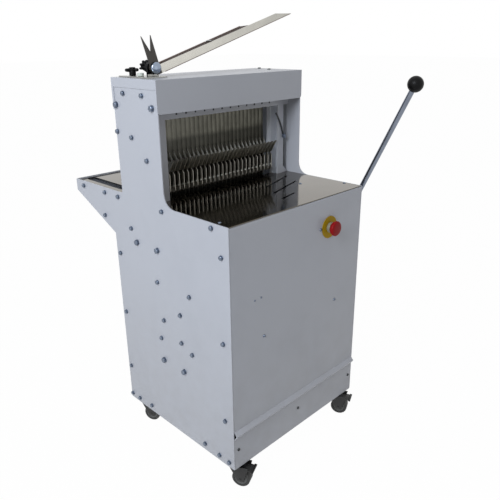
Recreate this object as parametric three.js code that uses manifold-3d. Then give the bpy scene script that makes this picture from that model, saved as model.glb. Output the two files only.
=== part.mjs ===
// Floor-standing frame bread slicer: a loaf is pushed through two sliding blade frames
// by a comb that a side lever drives, and the slices are bagged over a scoop on the hood.
// Millimetres. X runs across the machine, Y from its front to its rear, Z up.

import * as THREE from "three";
import * as BufferGeometryUtils from "three/addons/utils/BufferGeometryUtils.js";
import Module from "manifold-3d";

const wasm = await Module();
wasm.setup();

// Driving sizes of the whole machine
const cabinetWidth = 500;
const cabinetDepth = 460;
const tableHeight = 655;
const hoodRise = 295;
const towerFront = 226;
const towerDepth = 180;
const plateThickness = 2.5;
const sheetThickness = 1.5;

// Clearances shared by the whole machine
const seatGap = 0.3;
const runningGap = 0.5;
const overrun = 5;

// Facets of round pieces
const smallSides = 12;
const roundSides = 20;
const wheelSides = 24;
const arcSteps = 5;
const cornerSteps = 12;

const halfTurn = Math.PI;
const quarterTurn = Math.PI / 2;
const innerFace = cabinetWidth / 2 - plateThickness;
const outerFace = cabinetWidth / 2;
const hoodTop = tableHeight + hoodRise;
const towerRear = towerFront + towerDepth;
const sides = { left: -1, right: 1 };

// Finishes
const paint = new THREE.MeshStandardMaterial({ color: 0xc3c8d2, roughness: 0.45, metalness: 0.05 });
const stainless = new THREE.MeshStandardMaterial({ color: 0xb4b6b4, roughness: 0.18, metalness: 1 });
const steel = new THREE.MeshStandardMaterial({ color: 0x8d9092, roughness: 0.35, metalness: 1 });
const chrome = new THREE.MeshStandardMaterial({ color: 0xc8ccd0, roughness: 0.08, metalness: 1 });
const castIron = new THREE.MeshStandardMaterial({ color: 0x3c4044, roughness: 0.6, metalness: 0.4 });
const blackPlastic = new THREE.MeshStandardMaterial({ color: 0x151517, roughness: 0.4, metalness: 0 });
const blackRubber = new THREE.MeshStandardMaterial({ color: 0x1b1b1d, roughness: 0.8, metalness: 0 });
const redPlastic = new THREE.MeshStandardMaterial({ color: 0xc01818, roughness: 0.3, metalness: 0 });
const yellowPlastic = new THREE.MeshStandardMaterial({ color: 0xe8c81e, roughness: 0.5, metalness: 0 });
const greyPlastic = new THREE.MeshStandardMaterial({ color: 0xb9bcbe, roughness: 0.5, metalness: 0 });
const motorPaint = new THREE.MeshStandardMaterial({ color: 0x4a5560, roughness: 0.5, metalness: 0.2 });

const machine = new THREE.Group();

function addPiece(name, geometry, material, parent = machine) {
  const mesh = new THREE.Mesh(geometry, material);
  mesh.name = name;
  parent.add(mesh);
  return mesh;
}

// Joining and cutting of closed shapes
function toSolid(geometry) {
  const bare = geometry.clone();
  bare.deleteAttribute("normal");
  bare.deleteAttribute("uv");
  const merged = BufferGeometryUtils.mergeVertices(bare);
  return new wasm.Manifold(new wasm.Mesh({
    numProp: 3,
    vertProperties: Float32Array.from(merged.attributes.position.array),
    triVerts: Uint32Array.from(merged.index.array),
  }));
}

function toGeometry(solid) {
  const mesh = solid.getMesh();
  const geometry = new THREE.BufferGeometry();
  geometry.setAttribute("position", new THREE.BufferAttribute(mesh.vertProperties, 3));
  geometry.setIndex(new THREE.BufferAttribute(mesh.triVerts, 1));
  return geometry;
}

function join(...geometries) {
  return toGeometry(geometries.map(toSolid).reduce((whole, next) => whole.add(next)));
}

function cut(geometry, ...cutters) {
  return toGeometry(cutters.map(toSolid).reduce((whole, next) => whole.subtract(next), toSolid(geometry)));
}

// Shapes placed in the machine's own axes
function block(low, high) {
  const size = high.map((value, axis) => value - low[axis]);
  const middle = high.map((value, axis) => (value + low[axis]) / 2);
  return new THREE.BoxGeometry(...size).translate(...middle);
}

function extruded(shape, depth, columns, curveSegments) {
  const geometry = new THREE.ExtrudeGeometry(shape, { depth, bevelEnabled: false, curveSegments });
  return geometry.applyMatrix4(new THREE.Matrix4().makeBasis(...columns));
}

const axisX = new THREE.Vector3(1, 0, 0);
const axisY = new THREE.Vector3(0, 1, 0);
const axisZ = new THREE.Vector3(0, 0, 1);

// A shape drawn in depth and height, thick across the machine
function acrossPlate(shape, xLow, xHigh, steps = arcSteps) {
  return extruded(shape, xHigh - xLow, [axisY, axisZ, axisX], steps).translate(xLow, 0, 0);
}

// A shape drawn in width and height, thick in depth
function facingPlate(shape, yLow, yHigh) {
  return extruded(shape, yHigh - yLow, [axisX, axisZ, axisY.clone().negate()], arcSteps)
    .translate(0, yHigh, 0);
}

// A shape drawn in width and depth, thick in height
function levelPlate(shape, zLow, zHigh) {
  return extruded(shape, zHigh - zLow, [axisX, axisY, axisZ], arcSteps).translate(0, 0, zLow);
}

function outline(points) {
  return new THREE.Shape(points.map(([across, up]) => new THREE.Vector2(across, up)));
}

// An outline whose corners are rounded, each point being [across, up, radius]
function roundedOutline(corners) {
  const shape = new THREE.Shape();
  corners.forEach(([across, up, radius], index) => {
    const here = new THREE.Vector2(across, up);
    const before = new THREE.Vector2(...corners.at(index - 1).slice(0, 2));
    const after = new THREE.Vector2(...corners[(index + 1) % corners.length].slice(0, 2));
    const start = here.clone().add(before.sub(here).setLength(radius));
    const end = here.clone().add(after.sub(here).setLength(radius));
    if (index === 0) shape.moveTo(start.x, start.y);
    else shape.lineTo(start.x, start.y);
    if (radius > 0) shape.quadraticCurveTo(here.x, here.y, end.x, end.y);
  });
  shape.closePath();
  return shape;
}

function rodAlongX(radius, xLow, xHigh, y, z, count = roundSides) {
  return new THREE.CylinderGeometry(radius, radius, xHigh - xLow, count)
    .rotateZ(quarterTurn).translate((xLow + xHigh) / 2, y, z);
}

function rodAlongY(radius, yLow, yHigh, x, z, count = roundSides) {
  return new THREE.CylinderGeometry(radius, radius, yHigh - yLow, count)
    .translate(x, (yLow + yHigh) / 2, z);
}

function rodAlongZ(radius, zLow, zHigh, x, y, count = roundSides) {
  return new THREE.CylinderGeometry(radius, radius, zHigh - zLow, count)
    .rotateX(quarterTurn).translate(x, y, (zLow + zHigh) / 2);
}

// A span [low, high] across the machine, mirrored to the side it is asked for
function spanOn(side, near, far) {
  return side < 0 ? [-far, -near] : [near, far];
}

function blockOn(side, near, far, yLow, yHigh, zLow, zHigh) {
  const [xLow, xHigh] = spanOn(side, near, far);
  return block([xLow, yLow, zLow], [xHigh, yHigh, zHigh]);
}

// Blade frames: two windows, one behind the other, whose blades share one plane
const blades = {
  pitch: 15,
  thickness: 1,
  width: 20,
  behindTowerFront: 82,
  sideMargin: 12,
  hookInset: 2.5,
  barThickness: 14,
  barGap: 1,
  postInset: 4.5,
  postWidth: 36,
  postStep: 12,
  postStepRise: 14,
  topBarDrop: 44,
  topBarHeight: 32,
  bottomBarDrop: 59,
  bottomBarHeight: 16,
  stroke: 20,
};
const bladeFront = towerFront + blades.behindTowerFront;
const bladeRear = bladeFront + blades.width;
const postFar = innerFace - blades.postInset;
const postNear = postFar - blades.postWidth;
const postStepNear = postNear - blades.postStep;
const topBarHigh = hoodTop - blades.topBarDrop;
const topBarLow = topBarHigh - blades.topBarHeight;
const bottomBarLow = tableHeight - blades.bottomBarDrop;
const bottomBarHigh = bottomBarLow + blades.bottomBarHeight;
const bladesPerSide = Math.floor((postStepNear - blades.sideMargin) / blades.pitch);
const frameA = {
  front: bladeFront - blades.barGap - blades.barThickness,
  rear: bladeFront - blades.barGap,
};
const frameB = {
  front: bladeRear + blades.barGap,
  rear: bladeRear + blades.barGap + blades.barThickness,
};

// Comb: its fingers reach forward between the blades from a spine behind them
const comb = {
  thickness: 1.5,
  aheadOfFrame: 13.5,
  legWidth: 8,
  aboveTable: 13,
  legLength: 52,
  cornerRadius: 6,
  notchDepth: 4,
  bandRise: 20,
  prongReach: 20.5,
  prongRise: 16.5,
  tipWidth: 5,
  spineGap: 3,
  spineThickness: 4,
  spineRise: 5,
  spineIntoArm: 1,
  stroke: 130,
};
const legFront = frameA.front - comb.aheadOfFrame;
const legLow = tableHeight + comb.aboveTable;
const legHigh = legLow + comb.legLength;
const bandHigh = legHigh + comb.bandRise;
const spineFront = frameB.rear + comb.spineGap;
const spineRear = spineFront + comb.spineThickness;

// Cross plates below the tables, in front of the blade frames and behind them
const guide = { thickness: 5, frontGap: 3, rearGap: 9, drop: 5, height: 48 };
const guideFront = frameA.front - guide.frontGap - guide.thickness;
const guideRear = frameB.rear + guide.rearGap;
const guideHigh = tableHeight - guide.drop;

// Carriage: a bar on each side, with an arm up to the comb and a pin for the swing arm
const carriage = {
  armInset: 35.5,
  armWidth: 8,
  armGap: 6,
  armReach: 100,
  armLength: 14,
  armRise: 2,
  bridgeHeight: 26,
  barWidth: 10,
  barHeight: 14,
  barDrop: 15,
  pinAheadOfGuide: 145,
  pinRadius: 5,
  barBeyondPin: 18,
  tieAheadOfPin: 6,
  tieLength: 8,
};
const armFar = innerFace - carriage.armInset;
const armNear = armFar - carriage.armWidth;
const barFar = armNear - carriage.armGap;
const barNear = barFar - carriage.barWidth;
const armFront = spineRear + carriage.armReach;
const armRear = armFront + carriage.armLength;
const armTop = bandHigh + carriage.armRise;
const barHigh = tableHeight - carriage.barDrop;
const barLow = barHigh - carriage.barHeight;
const pinY = guideFront - carriage.pinAheadOfGuide;
const pinZ = (barLow + barHigh) / 2;

// Tables of mirror-finished sheet with a flange down each side
const table = {
  flangeDrop: 22,
  frontEdge: 2,
  frameGap: 3,
  endGap: 0.5,
  sideGap: 0.4,
  slotInside: 8,
  slotOutside: 12,
  slotAhead: 5,
  slotBeyond: 47,
  beyondSlot: 7,
};
const slotNear = armNear - table.slotInside;
const slotFar = armFar + table.slotOutside;
const slotFront = armFront - table.slotAhead;
const slotRear = armRear + comb.stroke + table.slotBeyond;
const rearTableEnd = slotRear + table.beyondSlot;

// Casing: side plates, front and rear panels, base, and the hood over the tower
const casing = {
  belowHood: 4,
  towerCornerRadius: 40,
  bracketRise: 4,
  bracketEndDrop: 29,
  diagonalDrop: 119,
  edgeRadius: 3,
  rearCornerRadius: 10,
  basePlate: 3,
  skirtTop: 92,
  lipHeight: 25,
  lipDepth: 10,
  lipNoseShare: 0.6,
  panelReturn: 14,
  panelBend: 5,
  hoodFrontDrop: 76,
  hoodSideDrop: 22,
  hoodCornerRadius: 9,
  hoodReturn: 8,
  hoodGap: 0.3,
  panelSideGap: 0.5,
};
const bracketTop = tableHeight + casing.bracketRise;
const bracketEndLow = tableHeight - casing.bracketEndDrop;
const diagonalFoot = tableHeight - casing.diagonalDrop;
const tableUnder = tableHeight - sheetThickness;
const panelTop = tableUnder - seatGap;

// The lever shaft and the crankshaft run between the side plates
const leverAxis = { y: 228, z: 212 };
const crankSetBack = 85;
const crankDrop = 121;
const crankAxis = { y: towerFront + crankSetBack, z: tableHeight - crankDrop };
const leverShaftRadius = 12.5;
const crankShaftRadius = 12.5;
const shaftHoleRadius = 15;

function sidePlateShape() {
  const towerTop = hoodTop - casing.belowHood;
  return roundedOutline([
    [0, 0, casing.edgeRadius],
    [cabinetDepth, 0, casing.edgeRadius],
    [cabinetDepth, diagonalFoot, casing.edgeRadius],
    [rearTableEnd, bracketEndLow, casing.edgeRadius],
    [rearTableEnd, bracketTop, casing.edgeRadius],
    [towerRear, bracketTop, casing.rearCornerRadius],
    [towerRear, towerTop, casing.edgeRadius],
    [towerFront, towerTop, casing.edgeRadius],
    [towerFront, tableHeight, casing.towerCornerRadius],
    [0, tableHeight, casing.edgeRadius],
  ]);
}

for (const [name, side] of Object.entries(sides)) {
  const plate = acrossPlate(sidePlateShape(), ...spanOn(side, innerFace, outerFace), cornerSteps);
  const hole = rodAlongX(shaftHoleRadius, ...spanOn(side, innerFace - overrun, outerFace + overrun),
    leverAxis.y, leverAxis.z);
  addPiece(`side_plate_${name}`, side > 0 ? cut(plate, hole) : plate, paint);
}

const panelHalfWidth = innerFace - casing.panelSideGap;

// The emergency stop stands on the front panel
const stop = {
  x: 108.5,
  belowTable: 84.5,
  holeRadius: 11.5,
  discRadius: 30,
  discThickness: 1.5,
  collarRadius: 14.5,
  collarLength: 11,
  stemRadius: 7,
  headRadius: 20,
  headRimRadius: 18,
  headLength: 16,
  headDome: 2.5,
  travel: 4,
  nutRadius: 16,
  nutLength: 5,
};
const stopZ = tableHeight - stop.belowTable;

function frontPanel() {
  const low = casing.skirtTop;
  const lipTop = low + casing.lipHeight;
  const noseZ = low + casing.lipHeight * casing.lipNoseShare;
  const sheet = sheetThickness;
  const profile = roundedOutline([
    [sheet, panelTop - sheet, casing.panelBend - sheet],
    [casing.panelReturn, panelTop - sheet, 0],
    [casing.panelReturn, panelTop, 0],
    [0, panelTop, casing.panelBend],
    [0, lipTop, 0],
    [-casing.lipDepth, noseZ, sheet],
    [0, low, 0],
    [sheet, low, 0],
    [2 * sheet - casing.lipDepth, noseZ, 0],
    [sheet, lipTop, 0],
  ]);
  const panel = acrossPlate(profile, -panelHalfWidth, panelHalfWidth);
  return cut(panel, rodAlongY(stop.holeRadius, -overrun, overrun, stop.x, stopZ));
}
addPiece("front_panel", frontPanel(), paint);

const skirtTopEdge = casing.skirtTop - seatGap;
addPiece("front_skirt",
  block([-panelHalfWidth, 0, 0], [panelHalfWidth, sheetThickness, skirtTopEdge]), paint);

const rearPanelTop = diagonalFoot - sheetThickness;
addPiece("rear_panel",
  block([-panelHalfWidth, cabinetDepth - sheetThickness, 0], [panelHalfWidth, cabinetDepth, rearPanelTop]),
  paint);

const baseFront = sheetThickness + seatGap;
const baseRear = cabinetDepth - sheetThickness - seatGap;
addPiece("base_plate",
  block([-panelHalfWidth, baseFront, 0], [panelHalfWidth, baseRear, casing.basePlate]), paint);

// The sloping bottom and the end wall that close the rear table's bracket
function bracketPan() {
  const slope = (bracketEndLow - diagonalFoot) / (rearTableEnd - cabinetDepth);
  const rise = sheetThickness * Math.hypot(1, slope);
  const front = cabinetDepth + seatGap;
  const startZ = diagonalFoot + slope * seatGap;
  const end = rearTableEnd;
  const profile = outline([
    [front, startZ],
    [end, bracketEndLow],
    [end, bracketTop],
    [end - sheetThickness, bracketTop],
    [end - sheetThickness, bracketEndLow + rise - slope * sheetThickness],
    [front, startZ + rise],
  ]);
  return acrossPlate(profile, -panelHalfWidth, panelHalfWidth);
}
addPiece("bracket_pan", bracketPan(), paint);

function hood() {
  const inner = outerFace + casing.hoodGap;
  const outer = inner + sheetThickness;
  const front = towerFront - casing.hoodGap;
  const rear = towerRear + casing.hoodGap;
  const under = hoodTop - sheetThickness;
  const frontLow = hoodTop - casing.hoodFrontDrop;
  const sideLow = hoodTop - casing.hoodSideDrop;
  const rearEnd = rear + sheetThickness;
  const top = block([-outer, front - sheetThickness, under], [outer, rearEnd, hoodTop]);
  const frontFlange = block([-outer, front - sheetThickness, frontLow], [outer, front, hoodTop]);
  const rearFlange = block([-outer, rear, frontLow], [outer, rearEnd, hoodTop]);
  const flanges = Object.values(sides).flatMap((side) => [
    blockOn(side, inner, outer, front - sheetThickness, rearEnd, sideLow, hoodTop),
    blockOn(side, inner, outer, rearEnd - casing.hoodReturn, rearEnd, frontLow, hoodTop),
  ]);
  const radius = casing.hoodCornerRadius;
  const corners = Object.values(sides).map((side) => cut(
    blockOn(side, outer - radius, outer + overrun, front - overrun, front + overrun,
      frontLow - overrun, frontLow + radius),
    rodAlongY(radius, front - 2 * overrun, front + 2 * overrun, side * (outer - radius), frontLow + radius,
      wheelSides),
  ));
  return cut(join(top, frontFlange, rearFlange, ...flanges), ...corners);
}
addPiece("hood", hood(), paint);

const tableHalfWidth = innerFace - table.sideGap;

// Crumb slots at the right of the feed table, each a line from one end to the other, as
// shares of the table's half width and of the depth in front of the tower
const crumbSlotWidth = 6;
const crumbSlotShares = [
  [0.261, 0.803, 0.789, 1],
  [0.1215, 0.5465, 0.6655, 0.7345],
  [0.014, 0.314, 0.259, 0.3785],
];
const crumbSlots = crumbSlotShares.map(([fromX, fromY, toX, toY]) => ({
  fromX: fromX * tableHalfWidth,
  fromY: fromY * towerFront,
  toX: toX * tableHalfWidth,
  toY: toY * towerFront,
}));

function slotAlong({ fromX, fromY, toX, toY }, width) {
  const run = Math.hypot(toX - fromX, toY - fromY);
  const turn = Math.atan2(toY - fromY, toX - fromX);
  const bar = new THREE.BoxGeometry(run, width, 2 * overrun);
  const ends = [-run / 2, run / 2].map((x) => rodAlongZ(width / 2, -overrun, overrun, x, 0, smallSides));
  const shape = join(bar, ...ends);
  return shape.rotateZ(turn).translate((fromX + toX) / 2, (fromY + toY) / 2, tableHeight);
}

function flangedTable(yLow, yHigh, flangeLow, flangeHigh) {
  const sheet = block([-tableHalfWidth, yLow, tableUnder], [tableHalfWidth, yHigh, tableHeight]);
  const flanges = Object.values(sides).map((side) =>
    blockOn(side, tableHalfWidth - sheetThickness, tableHalfWidth, flangeLow, flangeHigh,
      tableHeight - table.flangeDrop, tableHeight));
  return join(sheet, ...flanges);
}

// The fixed frame in front of the blades: a crossbar on two legs that stand in notches of the table
const portal = {
  aheadOfFrame: 25,
  thickness: 3,
  legInset: 22.5,
  legWidth: 25,
  footBelowTable: 5,
  crossbarDrop: 6,
  crossbarHeight: 90,
};
const portalFront = frameA.front - portal.aheadOfFrame;
const portalRear = portalFront + portal.thickness;
const portalLegFar = innerFace - portal.legInset;
const portalLegNear = portalLegFar - portal.legWidth;

const feedSheet = flangedTable(table.frontEdge, frameA.front - table.frameGap,
  casing.panelReturn + seatGap, guideFront - seatGap);
const legNotches = Object.values(sides).map((side) =>
  blockOn(side, portalLegNear - seatGap, portalLegFar + seatGap, portalFront - seatGap, frameA.front,
    tableUnder - overrun, tableHeight + overrun));
addPiece("feed_table",
  cut(feedSheet, ...crumbSlots.map((ends) => slotAlong(ends, crumbSlotWidth)), ...legNotches), stainless);

const armSlots = Object.values(sides).map((side) => {
  const width = slotFar - slotNear;
  const x = side * (slotNear + slotFar) / 2;
  const ends = { fromX: x, fromY: slotFront + width / 2, toX: x, toY: slotRear - width / 2 };
  return slotAlong(ends, width);
});
const loadingRear = rearTableEnd - sheetThickness - table.endGap;
const loadingSheet = flangedTable(frameB.rear + table.frameGap, loadingRear,
  guideRear + guide.thickness + seatGap, loadingRear);
addPiece("rear_table", cut(loadingSheet, ...armSlots), stainless);

function bladePortal() {
  const top = hoodTop - portal.crossbarDrop;
  const bar = block([-panelHalfWidth, portalFront, top - portal.crossbarHeight],
    [panelHalfWidth, portalRear, top]);
  const legs = Object.values(sides).map((side) =>
    blockOn(side, portalLegNear, portalLegFar, portalFront, portalRear,
      tableHeight - portal.footBelowTable, top));
  return join(bar, ...legs);
}
addPiece("blade_portal", bladePortal(), paint);

// Every second blade belongs to a frame, and hooks into its top and bottom bars
function bladeFrame(barFront, barRear, firstBlade) {
  const pieces = [
    block([-postFar, barFront, topBarLow], [postFar, barRear, topBarHigh]),
    block([-postFar, barFront, bottomBarLow], [postFar, barRear, bottomBarHigh]),
  ];
  for (const side of Object.values(sides)) {
    pieces.push(
      blockOn(side, postNear, postFar, barFront, barRear, bottomBarLow, topBarHigh),
      blockOn(side, postStepNear, postFar, barFront, barRear, tableHeight + blades.postStepRise, topBarHigh),
    );
  }
  for (let index = firstBlade - bladesPerSide; index <= bladesPerSide; index += 2) {
    const xLow = index * blades.pitch - blades.thickness / 2;
    const xHigh = xLow + blades.thickness;
    pieces.push(block([xLow, bladeFront, bottomBarLow], [xHigh, bladeRear, topBarHigh]));
    for (const [low, high] of [[topBarLow, topBarHigh], [bottomBarLow, bottomBarHigh]]) {
      const hookLow = Math.min(barFront, bladeFront) + blades.hookInset;
      const hookHigh = Math.max(barRear, bladeRear) - blades.hookInset;
      pieces.push(block([xLow, hookLow, low + blades.hookInset], [xHigh, hookHigh, high - blades.hookInset]));
    }
  }
  return join(...pieces);
}
addPiece("blade_frame_front", bladeFrame(frameA.front, frameA.rear, 0), steel);
addPiece("blade_frame_rear", bladeFrame(frameB.front, frameB.rear, 1), steel);

// Upright rails whose ribs guide the outer edges of both frames' posts
const rail = {
  drop: 20,
  margin: 18,
  baseThickness: 3,
  ribHeight: 8,
  ribWidth: 5,
};
function guideRail(side) {
  const base = innerFace - seatGap;
  const ribRoot = base - rail.baseThickness;
  const ribTip = ribRoot - rail.ribHeight;
  const low = tableHeight + seatGap;
  const high = hoodTop - rail.drop;
  const front = frameA.front - rail.margin;
  const rear = frameB.rear + rail.margin;
  const pieces = [blockOn(side, ribRoot, base, front, rear, low, high)];
  const ribs = [
    [frameA.front - runningGap - rail.ribWidth, frameA.front - runningGap],
    [frameA.rear + runningGap, frameB.front - runningGap],
    [frameB.rear + runningGap, frameB.rear + runningGap + rail.ribWidth],
  ];
  for (const [yLow, yHigh] of ribs) {
    pieces.push(blockOn(side, ribTip, base, yLow, yHigh, low, high));
  }
  return join(...pieces);
}
for (const [name, side] of Object.entries(sides)) {
  addPiece(`guide_rail_${name}`, guideRail(side), steel);
}

// Crankshaft with two round eccentrics, and the strap of each under its blade frame
const crank = {
  eccentricity: blades.stroke / 2,
  sheaveRadius: 16,
  sheaveWidth: 10,
  strapWall: 4,
  strapWidth: 8,
  strapX: 45,
  armHalfWidth: 7,
  shaftEndGap: 2,
};
const strapBore = crank.sheaveRadius + 2 * (crank.eccentricity + runningGap);
const strapOuter = strapBore + crank.strapWall;

function crankshaft() {
  const end = innerFace - crank.shaftEndGap;
  const pieces = [rodAlongX(crankShaftRadius, -end, end, crankAxis.y, crankAxis.z)];
  const stations = [
    [-crank.strapX, -crank.eccentricity],
    [crank.strapX, crank.eccentricity],
  ];
  for (const [x, offset] of stations) {
    const half = crank.sheaveWidth / 2;
    pieces.push(rodAlongX(crank.sheaveRadius, x - half, x + half, crankAxis.y + offset, crankAxis.z));
  }
  return join(...pieces);
}
addPiece("crankshaft", crankshaft(), steel);

function eccentricStrap(x, barFront, barRear) {
  const half = crank.strapWidth / 2;
  const ring = rodAlongX(strapOuter, x - half, x + half, crankAxis.y, crankAxis.z);
  const middle = (barFront + barRear) / 2;
  const arm = block([x - half, middle - crank.armHalfWidth, crankAxis.z],
    [x + half, middle + crank.armHalfWidth, bottomBarLow - seatGap]);
  const bore = rodAlongX(strapBore, x - half - overrun, x + half + overrun, crankAxis.y, crankAxis.z);
  return cut(join(ring, arm), bore);
}
addPiece("strap_front", eccentricStrap(-crank.strapX, frameA.front, frameA.rear), castIron);
addPiece("strap_rear", eccentricStrap(crank.strapX, frameB.front, frameB.rear), castIron);

// Flange bearings on the inner faces of the side plates
const bearing = {
  boltSpacing: 88,
  flangeEndRadius: 12,
  flangeRadius: 30,
  flangeThickness: 9,
  bossRadius: 24,
  bossLength: 22,
};
function flangeBearing(side, axis, shaftRadius) {
  const half = bearing.boltSpacing / 2;
  const back = innerFace - seatGap;
  const flangeSpan = spanOn(side, back - bearing.flangeThickness, back);
  const bossSpan = spanOn(side, back - bearing.bossLength, back);
  const web = acrossPlate(outline([
    [axis.y - half, axis.z - bearing.flangeEndRadius],
    [axis.y, axis.z - bearing.flangeRadius],
    [axis.y + half, axis.z - bearing.flangeEndRadius],
    [axis.y + half, axis.z + bearing.flangeEndRadius],
    [axis.y, axis.z + bearing.flangeRadius],
    [axis.y - half, axis.z + bearing.flangeEndRadius],
  ]), ...flangeSpan);
  const ears = [-half, half].map((shift) =>
    rodAlongX(bearing.flangeEndRadius, ...flangeSpan, axis.y + shift, axis.z, smallSides));
  const boss = rodAlongX(bearing.bossRadius, ...bossSpan, axis.y, axis.z);
  const bore = rodAlongX(shaftRadius + runningGap,
    ...spanOn(side, back - bearing.bossLength - overrun, back + overrun), axis.y, axis.z);
  return cut(join(web, boss, ...ears), bore);
}
for (const [name, side] of Object.entries(sides)) {
  addPiece(`crank_bearing_${name}`, flangeBearing(side, crankAxis, crankShaftRadius), castIron);
  addPiece(`lever_bearing_${name}`, flangeBearing(side, leverAxis, leverShaftRadius), castIron);
}

// Motor, belt and pulleys below the table
const drive = {
  beltInset: 89.5,
  beltWidth: 12,
  crankPulleyRadius: 44,
  crankPulleyWidth: 18,
  motorPulleyRadius: 22,
  beltThickness: 5,
  beltGap: 0.4,
  motorAheadOfRear: 108,
  motorZ: 96,
  motorRadius: 64,
  motorLength: 190,
  motorGap: 14,
  motorShaftRadius: 8,
  motorShaftLength: 44,
  footWidth: 150,
  footLength: 120,
  terminalWidth: 60,
  terminalLength: 70,
  terminalHeight: 30,
};
const beltX = drive.beltInset - innerFace;
const motorAxis = { y: cabinetDepth - drive.motorAheadOfRear, z: drive.motorZ };
const pulleyHalf = drive.crankPulleyWidth / 2;
const motorFace = beltX + pulleyHalf + drive.motorGap;

function pulley(radius, shaftRadius, axis) {
  const x = beltX;
  const half = drive.beltWidth / 2 + drive.beltGap;
  const rim = radius + drive.beltThickness + drive.beltGap;
  const disc = rodAlongX(rim, x - pulleyHalf, x + pulleyHalf, axis.y, axis.z, wheelSides);
  const grooveOuter = rodAlongX(rim + overrun, x - half, x + half, axis.y, axis.z, wheelSides);
  const grooveCore = rodAlongX(radius, x - half - overrun, x + half + overrun, axis.y, axis.z, wheelSides);
  const bore = rodAlongX(shaftRadius + seatGap, x - pulleyHalf - overrun, x + pulleyHalf + overrun,
    axis.y, axis.z);
  return cut(disc, cut(grooveOuter, grooveCore), bore);
}
addPiece("crank_pulley", pulley(drive.crankPulleyRadius, crankShaftRadius, crankAxis), castIron);
addPiece("motor_pulley", pulley(drive.motorPulleyRadius, drive.motorShaftRadius, motorAxis), castIron);

// The belt's outline is the line that wraps both pulleys
function wrapOutline(extra) {
  const dy = motorAxis.y - crankAxis.y;
  const dz = motorAxis.z - crankAxis.z;
  const run = Math.hypot(dy, dz);
  const heading = Math.atan2(dz, dy);
  const large = drive.crankPulleyRadius + extra;
  const small = drive.motorPulleyRadius + extra;
  const lean = Math.acos((large - small) / run);
  const shape = new THREE.Shape();
  shape.absarc(crankAxis.y, crankAxis.z, large, heading + lean, heading - lean + 2 * halfTurn, false);
  shape.absarc(motorAxis.y, motorAxis.z, small, heading - lean, heading + lean, false);
  shape.closePath();
  return shape;
}
function beltLoop() {
  const half = drive.beltWidth / 2;
  const shape = wrapOutline(drive.beltGap + drive.beltThickness);
  shape.holes.push(wrapOutline(drive.beltGap));
  return acrossPlate(shape, beltX - half, beltX + half, roundSides);
}
addPiece("drive_belt", beltLoop(), blackRubber);

function motorBody() {
  const { y, z } = motorAxis;
  const radius = drive.motorRadius;
  const end = motorFace + drive.motorLength;
  const middle = (motorFace + end) / 2;
  const barrel = rodAlongX(radius, motorFace, end, y, z, wheelSides);
  const footTop = z - radius / 2;
  const foot = block([middle - drive.footLength / 2, y - drive.footWidth / 2, casing.basePlate + seatGap],
    [middle + drive.footLength / 2, y + drive.footWidth / 2, footTop]);
  const terminal = block([middle - drive.terminalLength / 2, y - drive.terminalWidth / 2, z],
    [middle + drive.terminalLength / 2, y + drive.terminalWidth / 2, z + radius + drive.terminalHeight]);
  const bore = rodAlongX(drive.motorShaftRadius + runningGap, motorFace - overrun,
    motorFace + drive.motorShaftLength / 2, y, z);
  return cut(join(barrel, foot, terminal), bore);
}
addPiece("motor", motorBody(), motorPaint);
addPiece("motor_shaft", rodAlongX(drive.motorShaftRadius, beltX - pulleyHalf,
  motorFace + drive.motorShaftLength / 2 - seatGap, motorAxis.y, motorAxis.z), steel);

// Feed: comb, arms and carriage bars slide; lever, shaft and swing arms turn
function fingerShape() {
  const { legWidth, cornerRadius, tipWidth } = comb;
  const bandLow = legHigh + comb.notchDepth;
  const tipY = legFront - comb.prongReach;
  const tipZ = bandHigh + comb.prongRise;
  const shape = outline([
    [spineFront, bandHigh],
    [legFront + legWidth, bandHigh],
    [tipY + tipWidth, tipZ],
    [tipY, tipZ],
    [legFront, bandLow],
    [legFront + cornerRadius, legHigh],
    [legFront, legHigh - cornerRadius],
    [legFront, legLow + cornerRadius],
    [legFront + cornerRadius, legLow],
    [spineFront, legLow],
  ]);
  const hole = new THREE.Path([
    [legFront + legWidth, legLow + legWidth],
    [spineFront - legWidth, legLow + legWidth],
    [spineFront - legWidth, legHigh],
    [legFront + legWidth, legHigh],
  ].map(([y, z]) => new THREE.Vector2(y, z)));
  shape.holes.push(hole);
  return shape;
}

// Each pusher arm stands in a table slot and reaches forward over the table to the comb
function pusherArm(side) {
  const upright = blockOn(side, armNear, armFar, armFront, armRear, barLow, armTop);
  const bridge = blockOn(side, armNear, armFar, spineFront, armRear, armTop - carriage.bridgeHeight, armTop);
  return join(upright, bridge);
}

// A finger stands in each space between two blades, and one outside the last blades
function pusherComb() {
  const spineFar = armNear + comb.spineIntoArm;
  const pieces = [block([-spineFar, spineFront, legLow], [spineFar, spineRear, bandHigh + comb.spineRise])];
  for (let index = -bladesPerSide; index <= bladesPerSide + 1; index += 1) {
    const x = (index - 1 / 2) * blades.pitch;
    pieces.push(acrossPlate(fingerShape(), x - comb.thickness / 2, x + comb.thickness / 2));
  }
  pieces.push(...Object.values(sides).map(pusherArm));
  return join(...pieces);
}

// Two bars tied into one frame, each with a shoe for the comb's arm and a pin for the swing arm
function feedCarriage() {
  const tieEnd = barNear + overrun;
  const tieRear = pinY - carriage.tieAheadOfPin;
  const pieces = [block([-tieEnd, tieRear - carriage.tieLength, barLow], [tieEnd, tieRear, barHigh])];
  for (const side of Object.values(sides)) {
    pieces.push(
      blockOn(side, barNear, barFar, pinY - carriage.barBeyondPin, armRear, barLow, barHigh),
      blockOn(side, barNear, armNear - seatGap, armFront, armRear, barLow, barHigh),
      rodAlongX(carriage.pinRadius, ...spanOn(side, barNear, armFar), pinY, pinZ, smallSides),
    );
  }
  return join(...pieces);
}
addPiece("pusher_comb", pusherComb(), stainless);
addPiece("feed_carriage", feedCarriage(), steel);

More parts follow.
